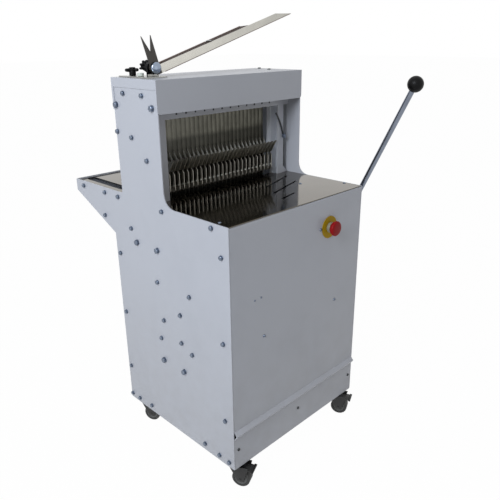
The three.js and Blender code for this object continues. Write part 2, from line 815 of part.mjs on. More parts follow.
// Two cross plates with windows carry the carriage bars
function carriageGuide(yLow) {
  const yHigh = yLow + guide.thickness;
  const plate = block([-panelHalfWidth, yLow, guideHigh - guide.height], [panelHalfWidth, yHigh, guideHigh]);
  const windows = Object.values(sides).map((side) =>
    blockOn(side, barNear - runningGap, barFar + runningGap,
      yLow - overrun, yHigh + overrun, barLow - runningGap, barHigh + runningGap));
  return cut(plate, ...windows);
}
addPiece("carriage_guide_front", carriageGuide(guideFront), steel);
addPiece("carriage_guide_rear", carriageGuide(guideRear), steel);

// Lever side: the shaft carries two swing arms inside and the hand lever outside
const lever = {
  standOff: 25,
  rodRadius: 6,
  knobAhead: 347,
  knobAbove: 713,
  knobRadius: 20,
  hubRadius: 20,
  hubHalfWidth: 12,
  shaftEndGap: 2,
  armHubRadius: 24,
  armHalfWidth: 11,
  armThickness: 6,
  slotGap: 1.2,
  slotBelow: 14,
  armTipAbove: 8,
  rodIntoKnob: 12,
};
const leverX = outerFace + lever.standOff;
const pinReach = pinZ - leverAxis.z;
const pinShift = pinY - leverAxis.y;
const swingLean = Math.atan2(-pinShift, pinReach);

function swingArm(side) {
  const near = (armNear + barFar) / 2;
  const [xLow, xHigh] = spanOn(side, near, near + lever.armThickness);
  const slotHalf = carriage.pinRadius + lever.slotGap;
  const reach = Math.hypot(pinReach, pinShift);
  const slotLow = pinReach - lever.slotBelow;
  const tip = reach + lever.armTipAbove;
  const wide = slotHalf + lever.armHalfWidth / 2;
  const arm = acrossPlate(outline([
    [-lever.armHubRadius / 2, 0],
    [lever.armHubRadius / 2, 0],
    [lever.armHalfWidth, slotLow - wide],
    [wide, slotLow],
    [wide, tip],
    [-wide, tip],
    [-wide, slotLow],
    [-lever.armHalfWidth, slotLow - wide],
  ]), xLow, xHigh);
  const hub = rodAlongX(lever.armHubRadius, xLow, xHigh, 0, 0);
  const slot = block([xLow - overrun, -slotHalf, slotLow], [xHigh + overrun, slotHalf, tip + overrun]);
  const bore = rodAlongX(leverShaftRadius + seatGap, xLow - overrun, xHigh + overrun, 0, 0);
  return cut(join(arm, hub), slot, bore).rotateX(swingLean).translate(0, leverAxis.y, leverAxis.z);
}
for (const [name, side] of Object.entries(sides)) {
  addPiece(`swing_arm_${name}`, swingArm(side), steel);
}

const leverShaftEnd = leverX + lever.hubHalfWidth;
addPiece("lever_shaft", rodAlongX(leverShaftRadius, -innerFace + lever.shaftEndGap, leverShaftEnd,
  leverAxis.y, leverAxis.z), steel);

// The hand lever stands in its hub and leans towards the front at the end of its stroke
const leverRun = Math.hypot(lever.knobAhead, lever.knobAbove);
const leverLean = Math.atan2(lever.knobAhead, lever.knobAbove);
function handLever() {
  const hub = rodAlongX(lever.hubRadius, leverX - lever.hubHalfWidth, leverX + lever.hubHalfWidth, 0, 0);
  const top = leverRun - lever.knobRadius + lever.rodIntoKnob;
  const rod = rodAlongZ(lever.rodRadius, lever.hubRadius / 2, top, leverX, 0, smallSides);
  const bore = rodAlongX(leverShaftRadius + seatGap, leverX - lever.hubHalfWidth - overrun,
    leverX + lever.hubHalfWidth + overrun, 0, 0);
  return cut(join(hub, rod), bore).rotateX(leverLean).translate(0, leverAxis.y, leverAxis.z);
}
addPiece("hand_lever", handLever(), steel);

function ballKnob() {
  const ball = new THREE.SphereGeometry(lever.knobRadius, roundSides, smallSides).rotateX(quarterTurn)
    .translate(leverX, 0, leverRun);
  const bore = rodAlongZ(lever.rodRadius + seatGap, leverRun - lever.knobRadius - overrun,
    leverRun - lever.knobRadius + lever.rodIntoKnob + seatGap, leverX, 0, smallSides);
  return cut(ball, bore).rotateX(leverLean).translate(0, leverAxis.y, leverAxis.z);
}
addPiece("ball_knob", ballKnob(), blackPlastic);

// Emergency stop: legend disc, collar through the panel, stem and mushroom head, contact block
const discFront = -stop.discThickness - seatGap;
addPiece("stop_disc", cut(
  rodAlongY(stop.discRadius, discFront, -seatGap, stop.x, stopZ, wheelSides),
  rodAlongY(stop.holeRadius, -overrun, overrun, stop.x, stopZ),
), yellowPlastic);

function stopCollar() {
  const front = discFront - seatGap - stop.collarLength;
  const head = rodAlongY(stop.collarRadius, front, discFront - seatGap, stop.x, stopZ);
  const neck = rodAlongY(stop.holeRadius - runningGap, front, sheetThickness + stop.nutLength, stop.x, stopZ);
  const nut = rodAlongY(stop.nutRadius, sheetThickness + seatGap, sheetThickness + stop.nutLength,
    stop.x, stopZ, smallSides);
  const bore = rodAlongY(stop.stemRadius + runningGap, front - overrun,
    sheetThickness + stop.nutLength + overrun, stop.x, stopZ);
  return cut(join(head, neck, nut), bore);
}
addPiece("stop_collar", stopCollar(), greyPlastic);

const headRear = discFront - seatGap - stop.collarLength - stop.travel - seatGap;
const stemRear = sheetThickness + stop.nutLength - stop.travel;
function stopHead() {
  const profile = [
    [0, 0],
    [stop.headRimRadius, 0],
    [stop.headRadius, stop.headDome],
    [stop.headRadius, stop.headLength - 2 * stop.headDome],
    [stop.headRimRadius, stop.headLength - stop.headDome],
    [stop.stemRadius, stop.headLength],
    [0, stop.headLength],
  ].map(([radius, along]) => new THREE.Vector2(radius, along));
  const head = new THREE.LatheGeometry(profile, wheelSides).rotateX(halfTurn)
    .translate(stop.x, headRear, stopZ);
  const socket = rodAlongY(stop.stemRadius, headRear - stop.headLength / 2, headRear + overrun,
    stop.x, stopZ);
  return cut(head, socket);
}
addPiece("stop_head", stopHead(), redPlastic);
addPiece("stop_stem", rodAlongY(stop.stemRadius - seatGap, headRear - stop.headLength / 2 + seatGap, stemRear,
  stop.x, stopZ), greyPlastic);

// Bagging scoop on the left of the hood
const bagging = {
  plateInset: 14,
  plateWidth: 56,
  plateAhead: 37,
  plateBeyond: 11,
  plateThickness: 3,
  starInset: 35,
  starGap: 1,
  starRadius: 18,
  starRise: 8.2,
  starHeight: 8,
  starStemRadius: 8.5,
  starBossRadius: 8,
  starBossRise: 3,
  lobes: 5,
  lobeShare: 0.2,
  pivotInset: 57,
  pivotRise: 18.2,
  earSetBack: 86,
  earThickness: 5,
  earRadius: 16,
  boltRadius: 5,
  capRadius: 14,
  capAhead: 20,
  capLength: 8,
  knobRadius: 16,
  knobGap: 16,
  knobLength: 14,
  knobCollarRadius: 12,
};
const hoodSeat = hoodTop + seatGap;
const plateTop = hoodSeat + bagging.plateThickness;
const pivotX = bagging.pivotInset - outerFace;
const pivotZ = plateTop + bagging.pivotRise;
const earFront = towerFront + bagging.earSetBack;
const earRear = earFront + bagging.earThickness;
const knobFront = earRear + bagging.knobGap;
const knobRear = knobFront + bagging.knobLength;
const starY = knobRear + bagging.starGap + bagging.starRadius;

// The plate lies on the hood and carries an upright ear for the pivot
function baggingPlate() {
  const { earRadius } = bagging;
  const plateLeft = bagging.plateInset - outerFace;
  const plateRear = starY + bagging.starRadius + bagging.plateBeyond;
  const plate = block([plateLeft, earFront - bagging.plateAhead, hoodSeat],
    [plateLeft + bagging.plateWidth, plateRear, plateTop]);
  const web = block([pivotX - earRadius, earFront, hoodSeat], [pivotX + earRadius, earRear, pivotZ]);
  const crown = rodAlongY(earRadius, earFront, earRear, pivotX, pivotZ);
  const bore = rodAlongY(bagging.boltRadius + runningGap, earFront - overrun, earRear + overrun,
    pivotX, pivotZ);
  return cut(join(plate, web, crown), bore);
}
addPiece("bagging_plate", baggingPlate(), stainless);

// A grip with rounded lobes round its edge
function lobedShape(radius, lobes, share) {
  const points = [];
  const count = lobes * arcSteps;
  for (let index = 0; index < count; index += 1) {
    const angle = (2 * halfTurn * index) / count;
    const reach = radius * (1 - share / 2 + (share / 2) * Math.cos(lobes * angle));
    points.push([reach * Math.cos(angle), reach * Math.sin(angle)]);
  }
  return outline(points);
}

function starKnob() {
  const starLow = plateTop + bagging.starRise;
  const starHigh = starLow + bagging.starHeight;
  const middle = (starLow + starHigh) / 2;
  const stem = rodAlongZ(bagging.starStemRadius, plateTop + seatGap, middle, 0, 0);
  const boss = rodAlongZ(bagging.starBossRadius, middle, starHigh + bagging.starBossRise, 0, 0);
  const grip = levelPlate(lobedShape(bagging.starRadius, bagging.lobes, bagging.lobeShare),
    starLow, starHigh);
  return join(stem, boss, grip).translate(bagging.starInset - outerFace, starY, 0);
}
addPiece("star_knob", starKnob(), blackPlastic);

const boltRear = (knobFront + knobRear) / 2;
function pivotBolt() {
  const capFront = earFront - bagging.capAhead;
  const shank = rodAlongY(bagging.boltRadius, capFront, boltRear, pivotX, pivotZ, smallSides);
  const cap = rodAlongY(bagging.capRadius, capFront, capFront + bagging.capLength, pivotX, pivotZ);
  return join(shank, cap);
}
addPiece("pivot_bolt", pivotBolt(), chrome);

function pivotKnob() {
  const grip = facingPlate(lobedShape(bagging.knobRadius, bagging.lobes, bagging.lobeShare),
    knobFront, knobRear).translate(pivotX, 0, pivotZ);
  const collar = rodAlongY(bagging.knobCollarRadius, earRear + seatGap, knobFront + overrun, pivotX, pivotZ);
  const bore = rodAlongY(bagging.boltRadius + seatGap, earRear - overrun, boltRear + seatGap, pivotX, pivotZ);
  return cut(join(grip, collar), bore);
}
addPiece("pivot_knob", pivotKnob(), blackPlastic);

// The scoop is a narrow channel of bent sheet on a hub, with a forked arm square to it
const scoop = {
  lean: 16.7,
  hubRadius: 13,
  hubGap: 1,
  hubLength: 10.5,
  below: 17,
  above: 3.5,
  tipRise: 0.8,
  topRun: 437,
  tipRun: 65,
  troughStart: 22,
  frontSetBack: 0.5,
  width: 20,
  rearRun: 290,
  rearTipRun: 35,
  forkInset: 10,
  forkThickness: 3,
  forkHalf: 13,
  forkLength: 77,
  forkStep: 5,
  forkNotchDepth: 41,
};
const hubRear = earFront - scoop.hubGap;
const hubFront = hubRear - scoop.hubLength;
const scoopTip = scoop.topRun + scoop.tipRun;

// The front wall runs to the tip, and the rear wall stops short of it
function bagScoop() {
  const { troughStart, forkHalf, forkLength, below, above } = scoop;
  const sheet = sheetThickness;
  const frontWall = hubFront + scoop.frontSetBack;
  const rearWall = frontWall + scoop.width;
  const rearPeak = troughStart + scoop.rearRun;
  const front = facingPlate(outline([
    [0, -below],
    [scoopTip, -below],
    [scoop.topRun, scoop.tipRise],
    [0, above],
  ]), frontWall, frontWall + sheet);
  const rear = facingPlate(outline([
    [troughStart, -below],
    [rearPeak + scoop.rearTipRun, -below],
    [rearPeak + scoop.rearTipRun, -above],
    [rearPeak, above],
    [troughStart, above],
  ]), rearWall - sheet, rearWall);
  const floor = block([troughStart, frontWall, -below],
    [rearPeak + scoop.rearTipRun, rearWall, sheet - below]);
  const hub = rodAlongY(scoop.hubRadius, hubFront, hubRear, 0, 0);
  const forkFront = hubRear - scoop.forkInset;
  const fork = facingPlate(outline([
    [-forkHalf, 0],
    [forkHalf, 0],
    [forkHalf, forkLength - scoop.forkStep],
    [0, forkLength - scoop.forkNotchDepth],
    [-forkHalf, forkLength],
  ]), forkFront, forkFront + scoop.forkThickness);
  const bore = rodAlongY(bagging.boltRadius + runningGap, hubFront - overrun, hubRear + overrun, 0, 0);
  return cut(join(front, rear, floor, hub, fork), bore);
}
const scoopTurn = THREE.MathUtils.degToRad(-scoop.lean);
addPiece("bag_scoop", bagScoop().rotateY(scoopTurn).translate(pivotX, 0, pivotZ), stainless);

// Swivel casters whose front pair have a brake tab over the wheel
const caster = {
  sideMargin: 7,
  endMargin: 4,
  heading: 25,
  plateSize: 56,
  plateThickness: 3,
  raceRadius: 16,
  raceLow: 9,
  crownRadius: 20,
  crownThickness: 3,
  trail: 18,
  wheelRadius: 25,
  wheelWidth: 30,
  axleRadius: 4,
  cheekThickness: 2.5,
  cheekHalf: 17,
  cheekFootHalf: 7,
  pinRadius: 2.5,
  bossRadius: 5,
  tabPivotSetBack: 6,
  tabAbove: 3.7,
  tabBelow: 2,
  tabOverhang: 5,
  tabThickness: 3,
  tabDrop: 5,
};
const crownTop = -caster.raceLow - seatGap;
const crownLow = crownTop - caster.crownThickness;
const tabPivotY = -caster.tabPivotSetBack;
const tabPivotZ = crownLow - caster.tabAbove - caster.bossRadius;
const wheelZ = tabPivotZ - caster.bossRadius - caster.tabBelow - caster.wheelRadius;
const casterInset = caster.plateSize / 2 + caster.sideMargin;
const frontCasterY = caster.plateSize / 2 + caster.endMargin;
const rearCasterY = cabinetDepth - frontCasterY;
const wheelHalf = caster.wheelWidth / 2;
const cheekNear = wheelHalf + runningGap;
const cheekFar = cheekNear + caster.cheekThickness;

function casterPlate() {
  const half = caster.plateSize / 2;
  const top = -seatGap;
  const plate = block([-half, -half, top - caster.plateThickness], [half, half, top]);
  return join(plate, rodAlongZ(caster.raceRadius, -caster.raceLow, top, 0, 0));
}

// The fork's crown turns under the race, and its cheeks carry the axle
function casterFork(hasTab) {
  const { trail, cheekHalf, cheekFootHalf } = caster;
  const cheekShape = outline([
    [-cheekHalf, crownTop],
    [-trail - cheekFootHalf, wheelZ],
    [-trail - cheekFootHalf / 2, wheelZ - cheekFootHalf],
    [-trail + cheekFootHalf / 2, wheelZ - cheekFootHalf],
    [-trail + cheekFootHalf, wheelZ],
    [cheekHalf, crownLow],
    [cheekHalf, crownTop],
  ]);
  const pieces = [
    rodAlongZ(caster.crownRadius, crownLow, crownTop, 0, 0),
    rodAlongX(caster.axleRadius, -cheekFar, cheekFar, -trail, wheelZ, smallSides),
  ];
  for (const side of Object.values(sides)) {
    pieces.push(acrossPlate(cheekShape, ...spanOn(side, cheekNear, cheekFar)));
  }
  if (hasTab) {
    pieces.push(rodAlongX(caster.pinRadius, -cheekFar, cheekFar, tabPivotY, tabPivotZ, smallSides));
  }
  return join(...pieces);
}

function casterWheel() {
  const { trail, wheelRadius } = caster;
  const tyre = rodAlongX(wheelRadius, -wheelHalf, wheelHalf, -trail, wheelZ, wheelSides);
  const bore = rodAlongX(caster.axleRadius + runningGap, -wheelHalf - overrun, wheelHalf + overrun,
    -trail, wheelZ, smallSides);
  return cut(tyre, bore);
}

function brakeTab() {
  const { bossRadius, tabThickness, tabDrop, pinRadius } = caster;
  const top = tabPivotZ + bossRadius;
  const tip = -caster.trail - caster.wheelRadius - caster.tabOverhang;
  const plate = acrossPlate(outline([
    [tabPivotY, top],
    [tabPivotY, top - tabThickness],
    [tip, top - tabThickness - tabDrop],
    [tip, top - tabDrop],
  ]), -wheelHalf, wheelHalf);
  const boss = rodAlongX(bossRadius, -wheelHalf, wheelHalf, tabPivotY, tabPivotZ, smallSides);
  const bore = rodAlongX(pinRadius + runningGap, -wheelHalf - overrun, wheelHalf + overrun,
    tabPivotY, tabPivotZ, smallSides);
  return cut(join(plate, boss), bore);
}

const corners = {
  front_left: { side: sides.left, y: frontCasterY, front: true },
  front_right: { side: sides.right, y: frontCasterY, front: true },
  rear_left: { side: sides.left, y: rearCasterY, front: false },
  rear_right: { side: sides.right, y: rearCasterY, front: false },
};
for (const [name, { side, y, front }] of Object.entries(corners)) {
  const mounting = new THREE.Group();
  mounting.position.set(side * (outerFace - casterInset), y, 0);
  const swivel = new THREE.Group();
  swivel.rotation.z = THREE.MathUtils.degToRad(caster.heading);
  mounting.add(swivel);
  machine.add(mounting);
  addPiece(`caster_plate_${name}`, casterPlate(), steel, mounting);
  addPiece(`caster_fork_${name}`, casterFork(front), blackPlastic, swivel);
  addPiece(`caster_wheel_${name}`, casterWheel(), blackRubber, swivel);
  if (front) addPiece(`brake_tab_${name}`, brakeTab(), blackPlastic, swivel);
}

// The origin is on the floor, under the middle of the machine's box
machine.updateMatrixWorld(true);
const bounds = new THREE.Box3().setFromObject(machine);
const centre = bounds.getCenter(new THREE.Vector3());
machine.position.set(-centre.x, -centre.y, -bounds.min.z);

export default machine;
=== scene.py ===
# %% [markdown]
# # A frame bread slicer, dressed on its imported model
#
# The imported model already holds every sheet, shaft and joint of the machine at its real size.
# This script loads it, gives each surface its finish, and adds what a fabricator would add last:
# bolts, screws, knobs, wheels, blade edges and the light that shows them.

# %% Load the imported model
import math
import bmesh
import bpy
from mathutils import Matrix, Vector


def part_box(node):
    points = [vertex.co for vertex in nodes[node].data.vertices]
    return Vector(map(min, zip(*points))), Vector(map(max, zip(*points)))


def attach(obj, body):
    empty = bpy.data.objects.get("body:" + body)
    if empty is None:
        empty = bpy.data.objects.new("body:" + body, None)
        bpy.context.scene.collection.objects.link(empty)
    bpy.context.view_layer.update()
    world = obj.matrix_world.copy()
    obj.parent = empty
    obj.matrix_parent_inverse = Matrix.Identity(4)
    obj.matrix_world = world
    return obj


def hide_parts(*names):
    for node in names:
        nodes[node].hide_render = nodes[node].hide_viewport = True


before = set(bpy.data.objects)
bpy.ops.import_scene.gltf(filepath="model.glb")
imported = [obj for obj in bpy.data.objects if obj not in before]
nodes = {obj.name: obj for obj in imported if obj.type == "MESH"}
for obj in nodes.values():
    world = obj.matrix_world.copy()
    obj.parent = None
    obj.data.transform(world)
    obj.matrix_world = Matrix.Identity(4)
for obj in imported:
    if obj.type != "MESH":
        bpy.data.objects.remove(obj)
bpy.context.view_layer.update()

# %% [markdown]
# ## Measuring in the machine's own axes
#
# The maker's drawing counts in millimetres from the middle of the cabinet, its front face and its
# underside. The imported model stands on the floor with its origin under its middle. One function
# turns the first into the second, so every place below can be checked against the drawing.

# %% From drawing millimetres to scene metres
MM = 0.001
left_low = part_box("side_plate_left")[0]
right_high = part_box("side_plate_right")[1]
DRAWING_ZERO = Vector(((left_low[0] + right_high[0]) / 2, left_low[1], left_low[2]))
MIDDLE = DRAWING_ZERO.x
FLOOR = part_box("caster_wheel_front_left")[0][2]


def at(x, y, z):
    return DRAWING_ZERO + Vector((x, y, z)) * MM


HALF_WIDTH = (right_high[0] - left_low[0]) / 2 / MM
TABLE = (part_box("feed_table")[1][2] - DRAWING_ZERO.z) / MM
HOOD = (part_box("hood")[1][2] - DRAWING_ZERO.z) / MM
print("drawing zero at", tuple(round(value, 4) for value in DRAWING_ZERO))

# %% [markdown]
# ## Working as by hand
#
# Each new piece starts from a primitive at its size, is shaped in edit mode, and gets its last
# touch from a modifier. Operators act on the selection, so these helpers keep it tidy: one
# selects objects, one picks faces or edges by a rule, and one turns a worked shape into a
# finished piece whose object lies at the origin.

# %% Helpers for selecting, shaping and finishing
UPRIGHT = 0.9


def start_clean():
    """Leaves edit mode and deselects everything."""
    if bpy.context.object and bpy.context.object.mode == "EDIT":
        bpy.ops.object.mode_set(mode="OBJECT")
    bpy.ops.object.select_all(action="DESELECT")


def select_only(*objects):
    start_clean()
    for item in objects:
        item.select_set(True)
    bpy.context.view_layer.objects.active = objects[-1]


def pick(kind, rule):
    """In edit mode, selects the faces or the edges that satisfy a rule."""
    bpy.ops.mesh.select_mode(type=kind)
    bpy.ops.mesh.select_all(action="DESELECT")
    mesh = bmesh.from_edit_mesh(bpy.context.object.data)
    for element in mesh.faces if kind == "FACE" else mesh.edges:
        if rule(element):
            element.select_set(True)
    bmesh.update_edit_mesh(bpy.context.object.data)


def open_top():
    """Enters edit mode with the top of the shape selected."""
    bpy.ops.object.mode_set(mode="EDIT")
    pick("FACE", lambda face: face.normal.z > UPRIGHT)


def draw_up(steps):
    """Extrudes the selected top step by step, resizes it after each, and leaves edit mode."""
    for size_share, rise in steps:
        bpy.ops.mesh.extrude_region_move(TRANSFORM_OT_translate={"value": (0, 0, rise)})
        bpy.ops.transform.resize(value=(size_share, size_share, 1))
    bpy.ops.object.mode_set(mode="OBJECT")


def bisect_away(place, normal):
    """Cuts off and closes what lies beyond a plane through a place."""
    bpy.ops.object.mode_set(mode="EDIT")
    bpy.ops.mesh.select_all(action="SELECT")
    bpy.ops.mesh.bisect(plane_co=place, plane_no=normal, use_fill=True, clear_outer=True)
    bpy.ops.object.mode_set(mode="OBJECT")


def cylinder(radius, depth, count=48):
    """An upright cylinder whose foot stands on the origin."""
    start_clean()
    bpy.ops.mesh.primitive_cylinder_add(
        vertices=count, radius=radius, depth=depth, end_fill_type="NGON",
        location=(0, 0, depth / 2))
    item = bpy.context.object
    bpy.ops.object.transform_apply(location=True, rotation=True, scale=True)
    return item


def slab(low, high):
    """A box between two corners, in scene metres."""
    start_clean()
    size = [b - a for a, b in zip(low, high)]
    middle = [(a + b) / 2 for a, b in zip(low, high)]
    bpy.ops.mesh.primitive_cube_add(size=1, location=middle)
    item = bpy.context.object
    item.scale = size
    bpy.ops.object.transform_apply(location=True, rotation=True, scale=True)
    return item


def bevelled(item, width, segments=2, angle=40):
    select_only(item)
    modifier = item.modifiers.new("edge", "BEVEL")
    modifier.width = width
    modifier.segments = segments
    modifier.limit_method = "ANGLE"
    modifier.angle_limit = math.radians(angle)
    bpy.ops.object.modifier_apply(modifier=modifier.name)
    return item


def cut_away(item, *cutters):
    """Cuts the cutters out of a shape and removes them."""
    for cutter in cutters:
        select_only(item)
        modifier = item.modifiers.new("cut", "BOOLEAN")
        modifier.operation = "DIFFERENCE"
        modifier.solver = "EXACT"
        modifier.object = cutter
        bpy.ops.object.modifier_apply(modifier=modifier.name)
        bpy.data.objects.remove(cutter)
    return item


def joined(*items):
    select_only(*items)
    bpy.ops.object.join()
    return bpy.context.object


def shift(x, y, z):
    """The matrix that moves a shape by millimetres."""
    return Matrix.Translation(Vector((x, y, z)) * MM)


def turn_about(axis, degrees):
    return Matrix.Rotation(math.radians(degrees), 4, axis)


def placing(location, direction, turn=0.0):
    """The matrix that stands a shape's Z along a direction at a place."""
    aim = Vector(direction).normalized().to_track_quat("Z", "Y").to_matrix().to_4x4()
    return Matrix.Translation(location) @ aim @ Matrix.Rotation(turn, 4, "Z")


def put(item, matrix):
    """Moves the mesh, so that the object itself stays at the origin."""
    item.data.transform(matrix)
    return item


def copies(template, placings):
    """Puts a copy of a modelled shape at each placing, joins them and drops the template."""
    made = []
    for matrix in placings:
        twin = template.copy()
        twin.data = template.data.copy()
        bpy.context.scene.collection.objects.link(twin)
        made.append(put(twin, matrix))
    bpy.data.objects.remove(template)
    return joined(*made)


finished = []


def finish_piece(item, name, body, material, smooth=35, stands_for=()):
    """Names a shape, smooths it, gives it its finish and lets it ride on its body."""
    select_only(item)
    bpy.ops.object.transform_apply(location=True, rotation=True, scale=True)
    bpy.ops.object.shade_smooth_by_angle(angle=math.radians(smooth))
    item.name = name
    item.data.name = name
    item.data.materials.clear()
    item.data.materials.append(material)
    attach(item, body)
    if stands_for:
        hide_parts(*stands_for)
    finished.append(item)

# %% [markdown]
# ## Shader arithmetic
#
# A surface pattern is arithmetic on positions. The small class below wraps one output of the
# node tree, so that an expression such as `1 - mask * 0.3` adds the Math nodes for it.

# %% A signal in a shader tree
class Signal:
    def __init__(self, tree, socket):
        self.tree = tree
        self.socket = socket

    def math(self, operation, first, second):
        node = self.tree.nodes.new("ShaderNodeMath")
        node.operation = operation
        for slot, value in zip(node.inputs, (first, second)):
            if isinstance(value, Signal):
                self.tree.links.new(value.socket, slot)
            else:
                slot.default_value = value
        return Signal(self.tree, node.outputs[0])

    def __add__(self, other):
        return self.math("ADD", self, other)

    def __radd__(self, other):
        return self.math("ADD", other, self)

    def __sub__(self, other):
        return self.math("SUBTRACT", self, other)

    def __rsub__(self, other):
        return self.math("SUBTRACT", other, self)

    def __mul__(self, other):
        return self.math("MULTIPLY", self, other)

    def __rmul__(self, other):
        return self.math("MULTIPLY", other, self)

# %% A finish: one material and the nodes that paint it
class Finish:
    def __init__(self, name, base, roughness, metallic=0.0, **shader):
        self.material = bpy.data.materials.new(name)
        self.material.use_nodes = True
        self.tree = self.material.node_tree
        self.shader = self.tree.nodes["Principled BSDF"]
        self.shader.inputs["Base Color"].default_value = tinted(base)
        self.shader.inputs["Roughness"].default_value = roughness
        self.shader.inputs["Metallic"].default_value = metallic
        for socket, value in shader.items():
            self.shader.inputs[socket.replace("_", " ")].default_value = value
        self.place = self.node("ShaderNodeTexCoord", {}, {}, "Object")

    def node(self, kind, settings, sockets, output=0):
        """Adds a node of any kind: its settings first, then its sockets' values or links."""
        node = self.tree.nodes.new(kind)
        for name, value in settings.items():
            if name == "stops":
                ramp = node.color_ramp.elements
                for element, (position, level) in zip(ramp, value):
                    element.position = position
                    element.color = (level, level, level, 1)
            else:
                setattr(node, name, value)
        for name, value in sockets.items():
            if isinstance(value, Signal):
                self.tree.links.new(value.socket, node.inputs[name])
            else:
                node.inputs[name].default_value = value
        return Signal(self.tree, node.outputs[output])

    def stretched(self, scale, turn=(0, 0, 0)):
        """The object's own coordinates, stretched along its axes."""
        return self.node("ShaderNodeMapping", {}, {
            "Vector": self.place, "Scale": scale, "Rotation": turn})

    def along(self, axis):
        """The object's own coordinate along one axis."""
        return self.node("ShaderNodeSeparateXYZ", {}, {"Vector": self.place}, axis)

    def step(self, value, low, high):
        """Goes from zero at one value to one at another, and stays level past both."""
        return self.node("ShaderNodeMapRange", {"clamp": True}, {
            "Value": value, "From Min": low, "From Max": high,
            "To Min": 0.0, "To Max": 1.0}, "Result")

    def noise(self, scale, detail=2.0, roughness=0.5, vector=None):
        return self.node("ShaderNodeTexNoise", {}, {
            "Vector": vector or self.place, "Scale": scale,
            "Detail": detail, "Roughness": roughness}, "Fac")

    def ramp(self, value, *stops):
        return self.node("ShaderNodeValToRGB", {"stops": stops}, {"Fac": value}, "Color")

    def mix(self, factor, first, second):
        """Goes from one colour to another. A Mix node's colours are its inputs 6 and 7."""
        return self.node("ShaderNodeMix", {"data_type": "RGBA"}, {
            0: factor, 6: first, 7: second}, 2)

    def shaded(self, factor, base, share):
        """Goes from a colour to a share of it."""
        return self.mix(factor, tinted(base), tinted([value * share for value in base]))

    def bump(self, height, distance, strength=1.0):
        return self.node("ShaderNodeBump", {}, {
            "Height": height, "Distance": distance, "Strength": strength})

    def paint(self, **signals):
        for name, signal in signals.items():
            self.tree.links.new(signal.socket, self.shader.inputs[name.replace("_", " ").title()])


def colour(red, green, blue):
    """A colour as it is read off a swatch, 0 to 255, made linear for the shader."""
    return tuple(((value / 255 + 0.055) / 1.055) ** 2.4 if value > 10 else value / 3295
                 for value in (red, green, blue))


def tinted(shade):
    return (*shade, 1)

# %% [markdown]
# ## Powder coat
#
# The cabinet is bent steel sheet under a light grey powder coat. Powder melts into a skin with a
# fine orange peel, slightly uneven in gloss. Handling leaves faint grey smears, and the lowest
# part of the cabinet gathers floor dust. Noises at four sizes give these.

# %% The cabinet's paint
DUST_TOP, DUST_FOOT = 0.55, 0.07


def powder_coat(name, base):
    finish = Finish(name, base, 0.4, Coat_Weight=0.15, Coat_Roughness=0.2)
    peel = finish.noise(900, 1.5)
    waves = finish.noise(14, 2)
    smears = finish.ramp(finish.noise(5.5, 5, 0.62), (0.5, 0), (0.78, 1))
    dust = finish.step(finish.along("Z"), DUST_TOP, DUST_FOOT)
    dusty = dust * finish.noise(26, 4) * 0.35
    grimy = finish.mix(dusty, finish.shaded(smears * 0.14, base, 0.72),
                       tinted(colour(146, 140, 130)))
    finish.paint(
        base_color=grimy,
        roughness=0.33 + waves * 0.12 + smears * 0.12 + dusty * 0.4,
        normal=finish.bump(peel, 0.00006, 0.35),
    )
    return finish.material


PAINT = powder_coat("powder_coat", colour(187, 190, 198))
print("made", PAINT.name)

# %% [markdown]
# ## Stainless sheet, bright rolled
#
# Both tables and the bagging plate are stainless sheet, the tables with a near mirror. The
# tables' sheet is coloured a dark brownish grey, which is painted reflection of a dark room.
# Rolling leaves faint streaks along one axis, and wiping leaves cloudy marks that dull it in
# places. The plate's ear, which stands above the hood, is painted black from a set height upwards.

# %% Bright stainless
ABOVE_ALL = 2.0
EAR_FOOT = DRAWING_ZERO.z + (HOOD + 7) * MM


def bright_stainless(name, base, streak_axis, dull, painted_above=ABOVE_ALL):
    finish = Finish(name, base, 0.08, 1.0)
    scale = [90, 90, 90]
    scale[streak_axis] = 2.0
    streaks = finish.noise(14, 3, 0.6, finish.stretched(scale))
    wiped = finish.ramp(finish.noise(9, 5, 0.65), (0.42, 0), (0.72, 1))
    scratches = finish.ramp(finish.noise(60, 2, 0.5, finish.stretched((1, 9, 9), (0, 0, 0.5))),
                            (0.66, 0), (0.72, 1))
    painted = finish.step(finish.along("Z"), painted_above, painted_above + 0.0005)
    sheet = finish.shaded(wiped * 0.3, base, 0.8)
    finish.paint(
        base_color=finish.mix(painted, sheet, tinted(colour(26, 26, 28))),
        roughness=dull + streaks * 0.05 + wiped * 0.1 + scratches * 0.08,
        normal=finish.bump(streaks + finish.noise(3.2, 1) * 6.0, 0.00008, 0.25),
    )
    return finish.material


# The tables' dark brownish sheet colour is painted reflection of a dark room around them.
TABLE_SHEET_PAINTED_DARK = bright_stainless("bright_stainless", colour(108, 102, 93), 0, 0.03)
PLATE_SHEET = bright_stainless("plate_stainless", colour(176, 176, 172), 1, 0.12, EAR_FOOT)
print("made", TABLE_SHEET_PAINTED_DARK.name, "and", PLATE_SHEET.name)

# %% [markdown]
# ## The scoop's sheet
#
# The scoop is the same sheet, worn duller by bags. Its fork is darker steel and ends a set
# distance out, measured along the scoop's own lean. The sheet is painted darker towards the
# scoop's tip: painted shade. Its rear wall is darker and less metallic, and is told apart by how
# far back it lies.

# %% Scoop sheet, with its dark fork, painted shade towards its tip and a darker rear wall
PIVOT = (-193, 971.5)
LEAN = math.radians(16.7)
REAR_WALL = 319
FORK_END = (0.0150, 0.0140)
TIP_SHADE_SPAN = (0.06, 0.5)


